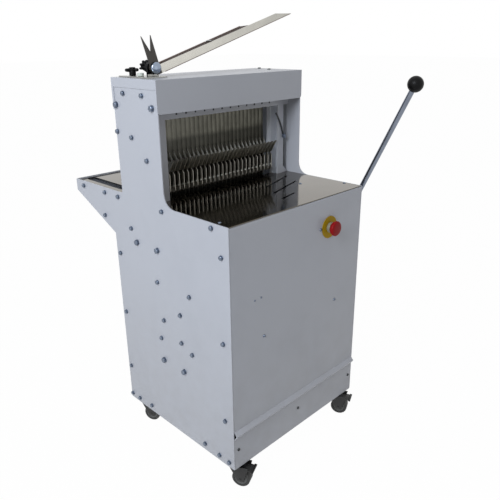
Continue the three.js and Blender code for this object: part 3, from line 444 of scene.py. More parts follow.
def scoop_sheet(name, base, fork, rear_wall_colour):
    finish = Finish(name, base, 0.2, 1.0)
    pivot = at(PIVOT[0], REAR_WALL, PIVOT[1])
    out_scoop = ((finish.along("X") - pivot.x) * math.cos(LEAN)
                 + (finish.along("Z") - pivot.z) * math.sin(LEAN))
    dark = finish.step(out_scoop, *FORK_END)
    rear = finish.step(finish.along("Y"), pivot.y - 0.0004, pivot.y)
    streaks = finish.noise(12, 3, 0.6, finish.stretched((4, 120, 120)))
    wiped = finish.ramp(finish.noise(16, 5, 0.65), (0.4, 0), (0.75, 1))
    # Painted shade: the sheet turns darker towards the scoop's tip.
    outward = finish.step(out_scoop, *TIP_SHADE_SPAN)
    sheet = finish.shaded(wiped * 0.25 + outward * 0.6, base, 0.5)
    # The rear wall is given a darker colour and less metal.
    rear_darker = finish.mix(rear * 0.9, sheet, tinted(rear_wall_colour))
    finish.paint(
        base_color=finish.mix(dark, rear_darker, tinted(fork)),
        metallic=1 - rear * 0.85,
        roughness=0.16 + streaks * 0.1 + wiped * 0.12 + dark * 0.14,
        normal=finish.bump(streaks, 0.00006, 0.4),
    )
    return finish.material


SCOOP_SHEET = scoop_sheet("scoop_stainless", colour(216, 214, 206), colour(74, 72, 70),
                          colour(138, 124, 122))
print("made", SCOOP_SHEET.name)

# %% [markdown]
# ## Brushed and machined steel
#
# Fingers, blades and frames are ground or laser-cut steel. Fine lines run along the piece, so
# the reflection is drawn out across them. A darker oil film lies in patches.

# %% Ground steel
def ground_steel(name, base, grain_axis, roughness, film):
    finish = Finish(name, base, roughness, 1.0)
    scale = [260, 260, 260]
    scale[grain_axis] = 6
    lines = finish.noise(8, 3, 0.6, finish.stretched(scale))
    oil = finish.ramp(finish.noise(18, 4, 0.6), (0.4, 0), (0.7, 1))
    finish.paint(
        base_color=finish.shaded(oil * film, base, 0.45),
        roughness=roughness - 0.08 + lines * 0.18 + oil * 0.08,
        normal=finish.bump(lines, 0.00005, 0.4),
    )
    return finish.material


FINGER_STEEL = ground_steel("finger_steel", colour(196, 193, 184), 2, 0.36, 0.3)
BAR_STEEL = ground_steel("bar_steel", colour(172, 174, 176), 1, 0.34, 0.3)
SHAFT_STEEL = ground_steel("shaft_steel", colour(196, 198, 200), 0, 0.22, 0.2)
LEVER_STEEL = ground_steel("lever_steel", colour(128, 135, 148), 2, 0.2, 0.5)
EDGE_STEEL = ground_steel("blade_edge_steel", colour(150, 148, 138), 2, 0.26, 0.3)
print("made five ground steels")

# %% [markdown]
# ## Blades in their frames
#
# A blade frame is one welded node: dark blades between light posts and bars. One material
# covers both, and a mask tells them apart by place: beyond a set distance from the middle of the
# machine, or above the window, the surface is post or bar. The blades' dark olive colour is
# painted reflection of the dark tower around them, and below a set height each blade is painted
# darker still: painted shade.

# %% Blade frame steel, masked by place
POST_FROM = 0.1885
BAR_FROM = (HOOD - 78) * MM + DRAWING_ZERO.z
SHADE_BELOW = DRAWING_ZERO.z + 0.797
SOFT_EDGE, SHADE_EDGE = 0.0004, 0.012


def blade_frame_steel(name, blade, post):
    finish = Finish(name, blade, 0.34, 1.0)
    place, height = finish.along("X"), finish.along("Z")
    aside = (place - MIDDLE).math("ABSOLUTE", place - MIDDLE, 0.0)
    framed = finish.step(aside, POST_FROM - SOFT_EDGE, POST_FROM + SOFT_EDGE)
    topped = finish.step(height, BAR_FROM - SOFT_EDGE, BAR_FROM + SOFT_EDGE)
    frame_mask = framed.math("MAXIMUM", framed, topped)
    # Painted shade: the blades turn darker below a set height.
    shaded_low = finish.step(height + finish.noise(30, 2) * SHADE_EDGE,
                        SHADE_BELOW + SHADE_EDGE, SHADE_BELOW)
    streaks = finish.noise(9, 3, 0.6, finish.stretched((420, 420, 5)))
    film = finish.ramp(finish.noise(40, 4, 0.6), (0.35, 0), (0.7, 1))
    blade_shade = finish.mix(shaded_low * 0.62, finish.shaded(film * 0.4, blade, 0.5),
                             tinted([value * 0.12 for value in blade]))
    finish.paint(
        base_color=finish.mix(frame_mask, blade_shade, finish.shaded(film * 0.2, post, 0.75)),
        metallic=1 - frame_mask,
        roughness=0.28 + streaks * 0.16 + film * 0.1,
        normal=finish.bump(streaks, 0.00005, 0.4),
    )
    return finish.material


# The blades' dark olive is painted reflection of the dark tower around them; the posts' pale grey
# is their paint.
BLADE_STEEL = blade_frame_steel("blade_frame_steel", colour(104, 103, 94), colour(232, 236, 244))
print("made", BLADE_STEEL.name)

# %% [markdown]
# ## Zinc, chrome and cast iron
#
# Bolts are zinc plated: a little blue, with a soft uneven gloss. Their colour is kept darker than
# bright zinc, partly as painted shade around the heads. The pivot cap is polished chrome, coloured
# a darker blue-grey as painted reflection. Bearings, straps and pulleys are castings with a grain
# that catches dust.

# %% Plated and cast metals
def plated(name, base, roughness, blotch=0.15):
    finish = Finish(name, base, roughness, 1.0)
    cloud = finish.noise(120, 3, 0.6)
    finish.paint(
        base_color=finish.shaded(cloud * 0.5, base, 0.6),
        roughness=roughness + cloud * blotch,
        normal=finish.bump(finish.noise(700, 2), 0.00003, 0.3),
    )
    return finish.material


def cast_metal(name, base):
    finish = Finish(name, base, 0.6, 0.6)
    grain = finish.noise(420, 5, 0.7)
    patches = finish.noise(30, 3)
    finish.paint(
        base_color=finish.shaded(patches, base, 1.5),
        roughness=0.45 + grain * 0.3,
        normal=finish.bump(grain, 0.0004, 0.6),
    )
    return finish.material


# Zinc is kept darker than bright zinc, partly as painted shade around the bolt heads.
ZINC = plated("zinc_plate", colour(122, 132, 148), 0.22)
DARK_ZINC = plated("dark_zinc", colour(70, 72, 74), 0.3)
CHROME = plated("polished_chrome", colour(222, 226, 230), 0.04, 0.05)
# The cap's darker blue-grey is painted reflection.
CAP_CHROME = plated("cap_chrome", colour(150, 162, 180), 0.05, 0.05)
# The scoop's beads are dark: painted shade along the scoop's edges.
SCOOP_BEAD_SHADE = plated("scoop_bead_painted_shade", colour(132, 118, 114), 0.32)
CAST = cast_metal("grey_casting", colour(92, 96, 100))

# %% [markdown]
# ## Plastics, rubber and enamel
#
# The knobs are black phenolic with a faint flow in the gloss. Caster forks and wheels are dull
# and scuffed. The stop button is glossy red, its disc printed yellow, and its collar grey.

# %% Moulded and painted small parts
def moulded(name, base, roughness, grain, depth, scuff, coat=0.0, shine=0.5):
    finish = Finish(name, base, roughness, 0.0, Coat_Weight=coat, Specular_IOR_Level=shine)
    fine = finish.noise(grain, 2)
    worn = finish.ramp(finish.noise(70, 5, 0.65), (0.5, 0), (0.75, 1))
    pale = [min(1.0, value * 1.5 + 0.03) for value in base]
    finish.paint(
        base_color=finish.mix(worn * scuff, tinted(base), tinted(pale)),
        roughness=roughness + fine * 0.08 + worn * 0.12,
        normal=finish.bump(fine, depth, 0.5),
    )
    return finish.material


PHENOLIC = moulded("black_phenolic", colour(10, 10, 11), 0.36, 300, 0.00003, 0.06, 0.0, 0.14)
CASTER_BLACK = moulded("caster_nylon", colour(26, 26, 26), 0.42, 380, 0.0001, 0.3)
TREAD = moulded("grey_tread", colour(54, 54, 53), 0.6, 260, 0.00015, 0.5)
HUB_GREY = moulded("hub_grey", colour(88, 89, 87), 0.45, 260, 0.00006, 0.3)
STOP_RED = moulded("stop_red", colour(146, 14, 17), 0.34, 240, 0.00003, 0.06, 0.0, 0.14)
STOP_YELLOW = moulded("stop_yellow", colour(182, 148, 14), 0.4, 360, 0.00004, 0.12, 0.0, 0.14)
STOP_GREY = moulded("stop_grey", colour(142, 139, 122), 0.38, 360, 0.00004, 0.15)
NYLON = moulded("clear_nylon", colour(206, 212, 204), 0.35, 260, 0.00005, 0.1)
BELT_RUBBER = moulded("belt_rubber", colour(30, 30, 31), 0.7, 420, 0.0002, 0.3)
# Pale and not metallic, for the comb's tails and pins: painted highlight.
HIGHLIGHT_PALE = moulded("painted_highlight_pale", colour(214, 213, 206), 0.3, 300, 0.00003, 0.1, 0.2)
MOTOR_ENAMEL = moulded("motor_enamel", colour(84, 98, 110), 0.4, 420, 0.0001, 0.2, 0.2)

# %% [markdown]
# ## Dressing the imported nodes
#
# Most nodes already have the right shape and only need their finish. The table below pairs each
# finish with the nodes it covers. Nodes that get a modelled twin further down are dressed too,
# and are hidden when their twin stands for them.

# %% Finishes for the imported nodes
SIDES = ("left", "right")
CORNERS = ("front_left", "front_right", "rear_left", "rear_right")


def each(name, ends):
    return [f"{name}_{end}" for end in ends]


dressing = {
    PAINT: ["front_panel", "front_skirt", "rear_panel", "base_plate", "bracket_pan", "hood",
            "blade_portal", *each("side_plate", SIDES)],
    TABLE_SHEET_PAINTED_DARK: ["feed_table", "rear_table"],
    SCOOP_SHEET: ["bag_scoop"],
    PLATE_SHEET: ["bagging_plate"],
    FINGER_STEEL: ["pusher_comb"],
    BLADE_STEEL: ["blade_frame_front", "blade_frame_rear"],
    BAR_STEEL: ["feed_carriage", "carriage_guide_front", "carriage_guide_rear",
                *each("swing_arm", SIDES), *each("guide_rail", SIDES)],
    SHAFT_STEEL: ["crankshaft", "motor_shaft", "lever_shaft"],
    LEVER_STEEL: ["hand_lever"],
    CAST: ["strap_front", "strap_rear", "crank_pulley", "motor_pulley",
           *each("crank_bearing", SIDES), *each("lever_bearing", SIDES)],
    ZINC: each("caster_plate", CORNERS),
    CHROME: ["pivot_bolt"],
    PHENOLIC: ["ball_knob", "star_knob", "pivot_knob"],
    CASTER_BLACK: each("caster_fork", CORNERS) + each("brake_tab", CORNERS[:2]),
    TREAD: each("caster_wheel", CORNERS),
    STOP_RED: ["stop_head"],
    STOP_YELLOW: ["stop_disc"],
    STOP_GREY: ["stop_collar", "stop_stem"],
    BELT_RUBBER: ["drive_belt"],
    MOTOR_ENAMEL: ["motor"],
}
for material, names in dressing.items():
    for name in names:
        mesh = nodes[name].data
        mesh.materials.clear()
        mesh.materials.append(material)
bare = set(nodes) - {name for names in dressing.values() for name in names}
print("nodes without a finish:", sorted(bare))

# %% [markdown]
# ## Hexagon bolts on the side plates
#
# The plates are bolted to everything inside them, and the heads are the machine's most regular
# detail. A head is a six-sided prism whose top is turned to a low cone, on a flat washer. One
# head of each size is modelled and copied to every place read off the photograph.

# %% One hexagon head on its washer
def hexagon_head(across_flats, height, washer_radius, washer_height):
    head = cylinder(across_flats / math.sqrt(3), height, 6)
    open_top()
    bpy.ops.mesh.inset(thickness=across_flats * 0.09, depth=0)
    bpy.ops.transform.translate(value=(0, 0, height * 0.12))
    bpy.ops.mesh.inset(thickness=across_flats * 0.12, depth=-height * 0.05)
    bpy.ops.object.mode_set(mode="OBJECT")
    bevelled(head, across_flats * 0.025, 2)
    put(head, Matrix.Translation((0, 0, washer_height)))
    washer = bevelled(cylinder(washer_radius, washer_height, 32), washer_height * 0.3, 2)
    return joined(head, washer)


# Across flats, height, washer radius and washer height
SMALL_SIZE = (10 * MM, 4.2 * MM, 6.2 * MM, 1.2 * MM)
LARGE_SIZE = (13 * MM, 5.4 * MM, 8 * MM, 1.6 * MM)
STAY_NUT_SIZE = (10 * MM, 5 * MM, 6.6 * MM, 1.2 * MM)

# Depth and height on the plate, in drawing millimetres
SMALL_HEADS = [
    (361, 914.5), (284, 913), (400, 820), (339, 811), (282, 761), (606, 645), (494.5, 645),
    (429, 644.5), (504, 578), (378, 568), (443, 481), (237, 643), (55, 643), (25, 580), (277, 443),
    (147, 443), (444, 298.5), (188, 378), (260, 337.5), (277, 278), (188.6, 297), (27, 360),
    (147, 279), (446, 116), (453, 15), (415, 15), (354, 19), (112, 20.6), (55, 17), (18, 16),
    (28.5, 139),
]
LARGE_HEADS = [(394.6, 885.5), (246.8, 887), (355.5, 534), (267, 534), (271, 212), (184.7, 212)]
BOLTS = (("small", SMALL_SIZE, SMALL_HEADS), ("large", LARGE_SIZE, LARGE_HEADS))


def plate_places(heads, side):
    """Each head turned by its own amount, as spanners leave them."""
    return [placing(at(side * HALF_WIDTH, y, z), (side, 0, 0), math.radians(37 * index % 60))
            for index, (y, z) in enumerate(heads)]


for side, name in ((-1, "left"), (1, "right")):
    for kind, size, heads in BOLTS:
        bolts = copies(hexagon_head(*size), plate_places(heads, side))
        finish_piece(bolts, f"{kind}_bolts_{name}", "cabinet", ZINC, 25)
print("bolted", len(SMALL_HEADS) + len(LARGE_HEADS), "heads to each side plate")

# %% [markdown]
# ## The ball knob and the hand lever
#
# The knob is a turned phenolic ball with a short flat where the rod enters it. The rod is round
# bar, so it is redrawn with enough facets to look round, with the clamp hub at its foot.

# %% The lever's line, from its shaft to its knob
LEVER_X = 275
SHAFT = (228, 212)
KNOB = (-119, 925)
KNOB_RADIUS, KNOB_FLAT = 20, 18.5
ROD_RADIUS, ROD_FOOT, ROD_HEAD = 7, 14, 18
HUB_RADIUS, HUB_LENGTH, HUB_BORE = 20, 24, 12.7
END_RADIUS, END_LENGTH, END_INSIDE = 12.4, 40, 27.8
THROUGH = 80
SIDEWAYS = (1, 0, 0)
knob_centre = at(LEVER_X, *KNOB)
shaft_centre = at(LEVER_X, *SHAFT)
along_rod = knob_centre - shaft_centre

# %% Ball, rod, hub and shaft end
start_clean()
bpy.ops.mesh.primitive_uv_sphere_add(segments=48, ring_count=32, radius=KNOB_RADIUS * MM)
knob = bpy.context.object
bisect_away((0, 0, -KNOB_FLAT * MM), (0, 0, -1))
put(knob, placing(knob_centre, along_rod))
finish_piece(knob, "ball_knob_turned", "lever", PHENOLIC, 60, ("ball_knob",))

rod = cylinder(ROD_RADIUS * MM, along_rod.length - (ROD_FOOT + ROD_HEAD) * MM, 32)
put(rod, placing(shaft_centre, along_rod) @ shift(0, 0, ROD_FOOT))
hub = cut_away(cylinder(HUB_RADIUS * MM, HUB_LENGTH * MM, 64),
               cylinder(HUB_BORE * MM, THROUGH * MM, 48))
bevelled(hub, 1.2 * MM, 3)
put(hub, placing(at(LEVER_X - HUB_LENGTH / 2, *SHAFT), SIDEWAYS))
finish_piece(joined(hub, rod), "lever_rod_and_hub", "lever", LEVER_STEEL, 35,
             ("hand_lever",))

shaft_end = bevelled(cylinder(END_RADIUS * MM, END_LENGTH * MM, 48), 1.4 * MM, 3)
put(shaft_end, placing(at(LEVER_X - END_INSIDE, *SHAFT), SIDEWAYS))
finish_piece(shaft_end, "lever_shaft_end", "lever", SHAFT_STEEL)
print("lever is", round(along_rod.length, 3), "m from shaft to knob")

# %% [markdown]
# ## The stop button
#
# A mushroom head is drawn up from one disc in six steps: its rim swells out and its face is
# slightly domed. Under it sit the grey collar with its nut, and the yellow disc.

# %% Head, collar and disc
STOP = (108.5, 570.5)
HEAD_RADIUS, HEAD_RIM, HEAD_REAR = 17.5, 3, -15.3
HEAD_STEPS = ((1.13, 1.2), (1.01, 2.4), (0.985, 2.4), (0.93, 1.5), (0.84, 0.7), (0.55, 0.4))
COLLAR_RADIUS, COLLAR_LENGTH, COLLAR_BORE, COLLAR_REAR = 14.2, 9, 8, -2.1
NUT_RADIUS, NUT_LENGTH, NUT_BORE, NUT_REAR = 15.8, 4.4, 11, 6.3
DISC_RADIUS, DISC_THICKNESS, DISC_BORE, DISC_REAR = 30, 1.4, 11.4, -0.35
FRONT = (0, -1, 0)


def on_panel(item, rear):
    """Stands a shape on the panel over the middle of the stop."""
    return put(item, placing(at(STOP[0], rear, STOP[1]), FRONT))


def bored(item, radius):
    return cut_away(item, cylinder(radius * MM, THROUGH * MM, 48))


head = cylinder(HEAD_RADIUS * MM, HEAD_RIM * MM, 64)
open_top()
draw_up([(size_share, rise * MM) for size_share, rise in HEAD_STEPS])
finish_piece(on_panel(head, HEAD_REAR), "stop_head_domed", "stop_button", STOP_RED,
             50, ("stop_head",))

collar = bevelled(cylinder(COLLAR_RADIUS * MM, COLLAR_LENGTH * MM, 64), 1.2 * MM, 3)
collar = on_panel(bored(collar, COLLAR_BORE), COLLAR_REAR)
nut = bevelled(cylinder(NUT_RADIUS * MM, NUT_LENGTH * MM, 6), 0.6 * MM)
nut = on_panel(bored(nut, NUT_BORE), NUT_REAR)
finish_piece(joined(collar, nut), "stop_collar_turned", "cabinet", STOP_GREY, 35,
             ("stop_collar",))

disc = cylinder(DISC_RADIUS * MM, DISC_THICKNESS * MM, 96)
open_top()
bpy.ops.mesh.inset(thickness=1.2 * MM, depth=0)
bpy.ops.mesh.inset(thickness=0.3 * MM, depth=-0.25 * MM)
bpy.ops.object.mode_set(mode="OBJECT")
disc = on_panel(bored(disc, DISC_BORE), DISC_REAR)
finish_piece(disc, "stop_disc_printed", "cabinet", STOP_YELLOW, 35,
             ("stop_disc",))
print("modelled the stop's head, collar, nut and disc")

# %% [markdown]
# ## Pan-head screws
#
# Sheet is fastened with pan-head screws whose cross slot shows as a dark nick. One head is
# modelled: a disc drawn up in three steps to a low dome, with two slots cut across it. The
# fillings differ only in size and place.

# %% One pan head, and its places
UP = (0, 0, 1)
PORTAL_FRONT = 268


def pan_head(radius, height):
    head = cylinder(radius, height * 0.4, 24)
    open_top()
    draw_up([(0.95, 0.25 * height), (0.86, 0.22 * height), (0.66, 0.13 * height)])
    wide, narrow, deep = radius * 0.62, radius * 0.13, height * 0.45
    return cut_away(head, slab((-wide, -narrow, deep), (wide, narrow, height * 2)),
                    slab((-narrow, -wide, deep), (narrow, wide, height * 2)))


# Name, places, direction, radius, height and finish
SCREWS = (
    ("panel_screws", [(146, 0, 347), (-139, 0, 347.5), (73, 0, 571)], FRONT, 4.2, 2.6, ZINC),
    ("skirt_screws", [(-234, 0, 57.5), (-2.5, 0, 60.5), (235, 0, 56.6)],
     FRONT, 4.2, 2.6, DARK_ZINC),
    ("panel_rivets", [(-171, 0, 455), (-149, 0, 456)], FRONT, 2.6, 1.4, ZINC),
    ("hood_screws", [(237, 376, HOOD), (213.5, 314.2, HOOD)], UP, 5.0, 2.8, DARK_ZINC),
    ("table_screws", [(152.6, 137.8, TABLE), (-236.2, 42.9, TABLE), (240, 52.3, TABLE)],
     UP, 4.0, 2.0, ZINC),
    ("portal_screws", [(x, PORTAL_FRONT, 865) for x in range(-165, 166, 30)],
     FRONT, 2.6, 1.2, DARK_ZINC),
)
for name, places, direction, radius, height, material in SCREWS:
    spots = [placing(at(*place), direction, math.radians(53 * index % 90))
             for index, place in enumerate(places)]
    heads = copies(pan_head(radius * MM, height * MM), spots)
    finish_piece(heads, name, "cabinet", material, 30)
print("fastened", len(SCREWS), "rows of screws")

# %% [markdown]
# ## The stay on the portal's right leg
#
# A dark strap hangs from the portal's corner to a bright nut at the leg's outer edge. The strap
# is a flat bar that bows a little sideways. It lies on the leg's front face.

# %% The stay and its nut
STAY_FRONT = 265.6
STAY_HALF_WIDTH, STAY_HALF_THICKNESS, STAY_BOW = 2.4, 1.2, 3.5
STAY_NUT_PLACE = (221.5, 264.2, 765)
top, foot = at(190, STAY_FRONT, 834), at(221.5, STAY_FRONT, 769)
run = (top - foot).length
stay = slab((-STAY_HALF_WIDTH * MM, -STAY_HALF_THICKNESS * MM, 0),
            (STAY_HALF_WIDTH * MM, STAY_HALF_THICKNESS * MM, run))
bpy.ops.object.mode_set(mode="EDIT")
pick("EDGE", lambda edge: abs(edge.verts[0].co.z - edge.verts[1].co.z) > run / 2)
bpy.ops.mesh.subdivide(number_cuts=6)
bpy.ops.object.mode_set(mode="OBJECT")
for vertex in stay.data.vertices:
    vertex.co.x += STAY_BOW * MM * math.sin(vertex.co.z / run * math.pi)
bevelled(stay, 0.5 * MM, 2)
tilt = math.atan2(top.x - foot.x, top.z - foot.z)
put(stay, Matrix.Translation(foot) @ Matrix.Rotation(tilt, 4, "Y"))
finish_piece(stay, "portal_stay", "cabinet", DARK_ZINC)

stay_nut = put(hexagon_head(*STAY_NUT_SIZE), placing(at(*STAY_NUT_PLACE), FRONT, 0.3))
finish_piece(stay_nut, "portal_stay_nut", "cabinet", ZINC, 25)
print("stay", round(run * 1000), "mm long")

# %% [markdown]
# ## Feet of the portal's legs
#
# Each leg widens at its foot into a small gusset towards the side plate, so that the frame can't
# rock. A gusset is a block whose outer top corner is bisected away.

# %% Gussets
GUSSET_INNER, GUSSET_OUTER = 225.2, 243
GUSSET_FRONT, GUSSET_REAR = 268.2, 270.8
GUSSET_FOOT, GUSSET_TOE, GUSSET_TOP = TABLE + 0.3, TABLE + 3, TABLE + 38
gussets = []
for side in (-1, 1):
    x_low, x_high = sorted((side * GUSSET_INNER, side * GUSSET_OUTER))
    gusset = slab(at(x_low, GUSSET_FRONT, GUSSET_FOOT), at(x_high, GUSSET_REAR, GUSSET_TOP))
    bisect_away(at(side * GUSSET_OUTER, GUSSET_FRONT, GUSSET_TOE),
                (side * (GUSSET_TOP - GUSSET_TOE), 0, GUSSET_OUTER - GUSSET_INNER))
    gussets.append(bevelled(gusset, 0.4 * MM, 2))
finish_piece(joined(*gussets), "portal_gussets", "cabinet", PAINT, 30)
print("gussets on", len(gussets), "legs")

# %% [markdown]
# ## Scalloped blade edges
#
# A bread blade cuts with a scalloped edge: a row of shallow round teeth along the side that meets
# the loaf. One tooth is a thin flattened disc. An Array modifier repeats it up the blade, and the
# strip is copied to each blade of both frames, so the edges ride up and down with them.

# %% One toothed strip, copied to every blade
TOOTH, TEETH, TOOTH_THICKNESS, TOOTH_FLATNESS = 10, 22, 0.6, 0.32
BLADE_PITCH, BLADES_ASIDE = 15, 12
STRIP_REAR, STRIP_FOOT = 327.1, 645


def toothed_strip():
    tooth = cylinder(TOOTH / 2 * MM, TOOTH_THICKNESS * MM, 12)
    put(tooth, turn_about("Y", 90))
    put(tooth, shift(-TOOTH_THICKNESS / 2, 0, 0) @ Matrix.Diagonal((1, TOOTH_FLATNESS, 1, 1)))
    select_only(tooth)
    row = tooth.modifiers.new("row", "ARRAY")
    row.count = TEETH
    row.use_relative_offset = False
    row.use_constant_offset = True
    row.constant_offset_displace = (0, 0, TOOTH * MM)
    bpy.ops.object.modifier_apply(modifier=row.name)
    return tooth


for first, name in ((0, "front"), (1, "rear")):
    spots = [Matrix.Translation(at(index * BLADE_PITCH, STRIP_REAR, STRIP_FOOT + TOOTH / 2))
             for index in range(first - BLADES_ASIDE, BLADES_ASIDE + 1, 2)]
    finish_piece(copies(toothed_strip(), spots), f"blade_edges_{name}", f"{name}_blade_frame",
                 EDGE_STEEL, 30)
    print(name, "frame has", len(spots), "toothed blades")

# %% [markdown]
# ## Tails and pins of the comb's fingers
#
# Above the comb's band each finger ends in a short tail that leans back and keeps a tall loaf
# upright. A pin ties each finger low down. Tails and pin heads are pale and not metallic, so they
# show as bright marks: painted highlight. The tail is a small block whose top face is moved back
# and narrowed.

# %% One tail and one pin, copied to every finger
FINGERS = [(index - 0.5) * BLADE_PITCH for index in range(-BLADES_ASIDE, BLADES_ASIDE + 2)]
TAIL_HALF_WIDTH, TAIL_DEPTH, TAIL_HEIGHT, TAIL_LEAN = 0.9, 8, 27, 17.5
TAIL_PLACE = (300, 739.6)
PIN_RADIUS, PIN_LENGTH, FINGER_HALF_WIDTH = 2.4, 1.5, 0.75
PIN_PLACE = (283.6, 685)

tail = slab((-TAIL_HALF_WIDTH * MM, 0, 0),
            (TAIL_HALF_WIDTH * MM, TAIL_DEPTH * MM, TAIL_HEIGHT * MM))
open_top()
bpy.ops.transform.translate(value=(0, TAIL_LEAN * MM, 0))
bpy.ops.transform.resize(value=(1, 0.7, 1))
bpy.ops.object.mode_set(mode="OBJECT")
bevelled(tail, 0.25 * MM, 1)
tails = copies(tail, [Matrix.Translation(at(x, *TAIL_PLACE)) for x in FINGERS])
finish_piece(tails, "finger_tails", "pusher", HIGHLIGHT_PALE, 30)

pin = bevelled(cylinder(PIN_RADIUS * MM, PIN_LENGTH * MM, 16), 0.4 * MM, 2)
pins = copies(pin, [placing(at(x - FINGER_HALF_WIDTH, *PIN_PLACE), (-1, 0, 0)) for x in FINGERS])
finish_piece(pins, "finger_pins", "pusher", HIGHLIGHT_PALE)
print("dressed", len(FINGERS), "fingers")

# %% [markdown]
# ## Lobed knobs
#
# Two black knobs clamp the bagging scoop. Each is a small core with five lobes. The core is a
# ten-sided prism, every second side is extruded outwards, and a Subdivision Surface
# rounds it all, after which it is scaled to its measured radius and height.

# %% A lobed grip
LOBES, CORE_SHARE = 5, 0.55


def lobed_grip(radius, height):
    grip = cylinder(radius * CORE_SHARE, height, LOBES * 2)
    bpy.ops.object.mode_set(mode="EDIT")
    sector = math.pi / LOBES

    def second_side(face):
        centre = face.calc_center_median()
        turn = (math.atan2(centre.y, centre.x) - sector / 2) / sector
        return abs(face.normal.z) < 0.1 and round(turn) % 2 == 0

    pick("FACE", second_side)
    bpy.ops.mesh.extrude_faces_move(TRANSFORM_OT_shrink_fatten={"value": radius * (1 - CORE_SHARE)})
    select_only(grip)
    rounding = grip.modifiers.new("rounding", "SUBSURF")
    rounding.levels = rounding.render_levels = 3
    bpy.ops.object.modifier_apply(modifier=rounding.name)
    reach = max(math.hypot(vertex.co.x, vertex.co.y) for vertex in grip.data.vertices)
    heights = [vertex.co.z for vertex in grip.data.vertices]
    stretch = height / (max(heights) - min(heights))
    put(grip, Matrix.Diagonal((radius / reach, radius / reach, stretch, 1)))
    return put(grip, Matrix.Translation((0, 0, -min(heights) * stretch)))

# %% The clamp knob, and the pivot knob with its collar
GRIP_RADIUS, CLAMP_HEIGHT, PIVOT_HEIGHT = 18, 8.6, 14.4
CLAMP_PLACE, PIVOT_KNOB_REAR, PIVOT_BORE = (-215, 366, HOOD + 3.6), 332.8, 5.2
grip = put(lobed_grip(GRIP_RADIUS * MM, CLAMP_HEIGHT * MM), shift(0, 0, 8))
stem = bevelled(cylinder(8.3 * MM, 12 * MM, 32), 0.8 * MM, 2)
boss = put(bevelled(cylinder(7.6 * MM, 5 * MM, 32), 1.6 * MM, 3), shift(0, 0, 14))
star = put(joined(boss, stem, grip), Matrix.Translation(at(*CLAMP_PLACE)))
finish_piece(star, "star_knob_moulded", "clamp_screw", PHENOLIC, 45,
             ("star_knob",))

blind_bore = put(cylinder(PIVOT_BORE * MM, 10 * MM, 24), shift(0, 0, -2))
grip = cut_away(lobed_grip(GRIP_RADIUS * MM, PIVOT_HEIGHT * MM), blind_bore)
collar = bevelled(cylinder(11.9 * MM, 16 * MM, 32), 0.8 * MM, 2)
collar = cut_away(collar, cylinder(PIVOT_BORE * MM, 40 * MM, 24))
turn = joined(put(collar, shift(0, 0, -15.4)), grip)
put(turn, placing(at(PIVOT[0], PIVOT_KNOB_REAR, PIVOT[1]), (0, 1, 0), -0.1))
finish_piece(turn, "pivot_knob_moulded", "pivot_screw", PHENOLIC, 45,
             ("pivot_knob",))
print("two lobed knobs of", len(star.data.polygons), "and", len(turn.data.polygons), "faces")

# %% [markdown]
# ## The domed chrome cap and the nylon pad
#
# The pivot screw ends at the front in a polished domed cap, which mirrors the sky and the hood.
# The dome is drawn from a disc in six steps that follow a quarter circle. Beside it the scoop
# rests on a soft milky nylon pad.

# %% Cap, shank and pad
CAP_RADIUS, CAP_RIM, CAP_DOME, CAP_REAR = 13.8, 2, 6, 300
SHANK_RADIUS, SHANK_LENGTH, SHANK_FRONT = 4.9, 41, 298.5
DOME_ANGLES = [math.radians(value) for value in (0, 15, 30, 45, 60, 75, 86)]
cap = cylinder(CAP_RADIUS * MM, CAP_RIM * MM, 64)
open_top()
draw_up([(math.cos(after) / math.cos(before), CAP_DOME * MM * (math.sin(after) - math.sin(before)))
         for before, after in zip(DOME_ANGLES, DOME_ANGLES[1:])])
put(cap, placing(at(PIVOT[0], CAP_REAR, PIVOT[1]), FRONT))
shank = bevelled(cylinder(SHANK_RADIUS * MM, SHANK_LENGTH * MM, 32), 0.5 * MM, 2)
put(shank, placing(at(PIVOT[0], SHANK_FRONT, PIVOT[1]), (0, 1, 0)))
finish_piece(joined(shank, cap), "pivot_screw_polished", "pivot_screw", CAP_CHROME, 50,
             ("pivot_bolt",))

pad = bevelled(cylinder(8 * MM, 7.4 * MM, 48), 1.8 * MM, 4)
put(pad, Matrix.Translation(at(-220, 326, HOOD + 3.4)))
finish_piece(pad, "rest_pad", "cabinet", NYLON)
print("capped the pivot screw")

# %% [markdown]
# ## Edges of the scoop
#
# A thin round bead runs along the scoop's lower front edge and along the top of its rear wall.
# The beads' dark colour is painted shade along these edges. A saddle of brighter sheet joins
# the two walls a third of the way along.

# %% Beads and saddle
def along_scoop(out, up, deep):
    """A place on the scoop: out along it, up from its line, and its depth in the machine."""
    return at(PIVOT[0] + out * math.cos(LEAN) - up * math.sin(LEAN), deep,
              PIVOT[1] + out * math.sin(LEAN) + up * math.cos(LEAN))


def bead(start, end, up, deep, radius):
    first, last = along_scoop(start, up, deep), along_scoop(end, up, deep)
    item = bevelled(cylinder(radius * MM, (last - first).length, 12), radius * 0.4 * MM, 1)
    return put(item, placing(first, last - first))


# Start and end along the scoop, height, depth and radius
BEADS = ((24, 498, -16.6, 300.9, 0.9), (24, 183, 3.2, 320.6, 1.5), (195, 312, 3.2, 320.6, 1.5))
# Dark beads: painted shade along the scoop's lower front edge and rear wall top.
finish_piece(joined(*[bead(*row) for row in BEADS]), "scoop_beads", "scoop", SCOOP_BEAD_SHADE)

saddle = bevelled(slab((0, -10 * MM, 0), (9 * MM, 10.4 * MM, 0.9 * MM)), 0.3 * MM, 1)
put(saddle, Matrix.Translation(along_scoop(184.5, 4, 311.2)) @ Matrix.Rotation(-LEAN, 4, "Y"))
finish_piece(saddle, "scoop_saddle", "scoop", PLATE_SHEET)
print("scoop reaches", tuple(round(value, 3) for value in along_scoop(502, -17, 301)))

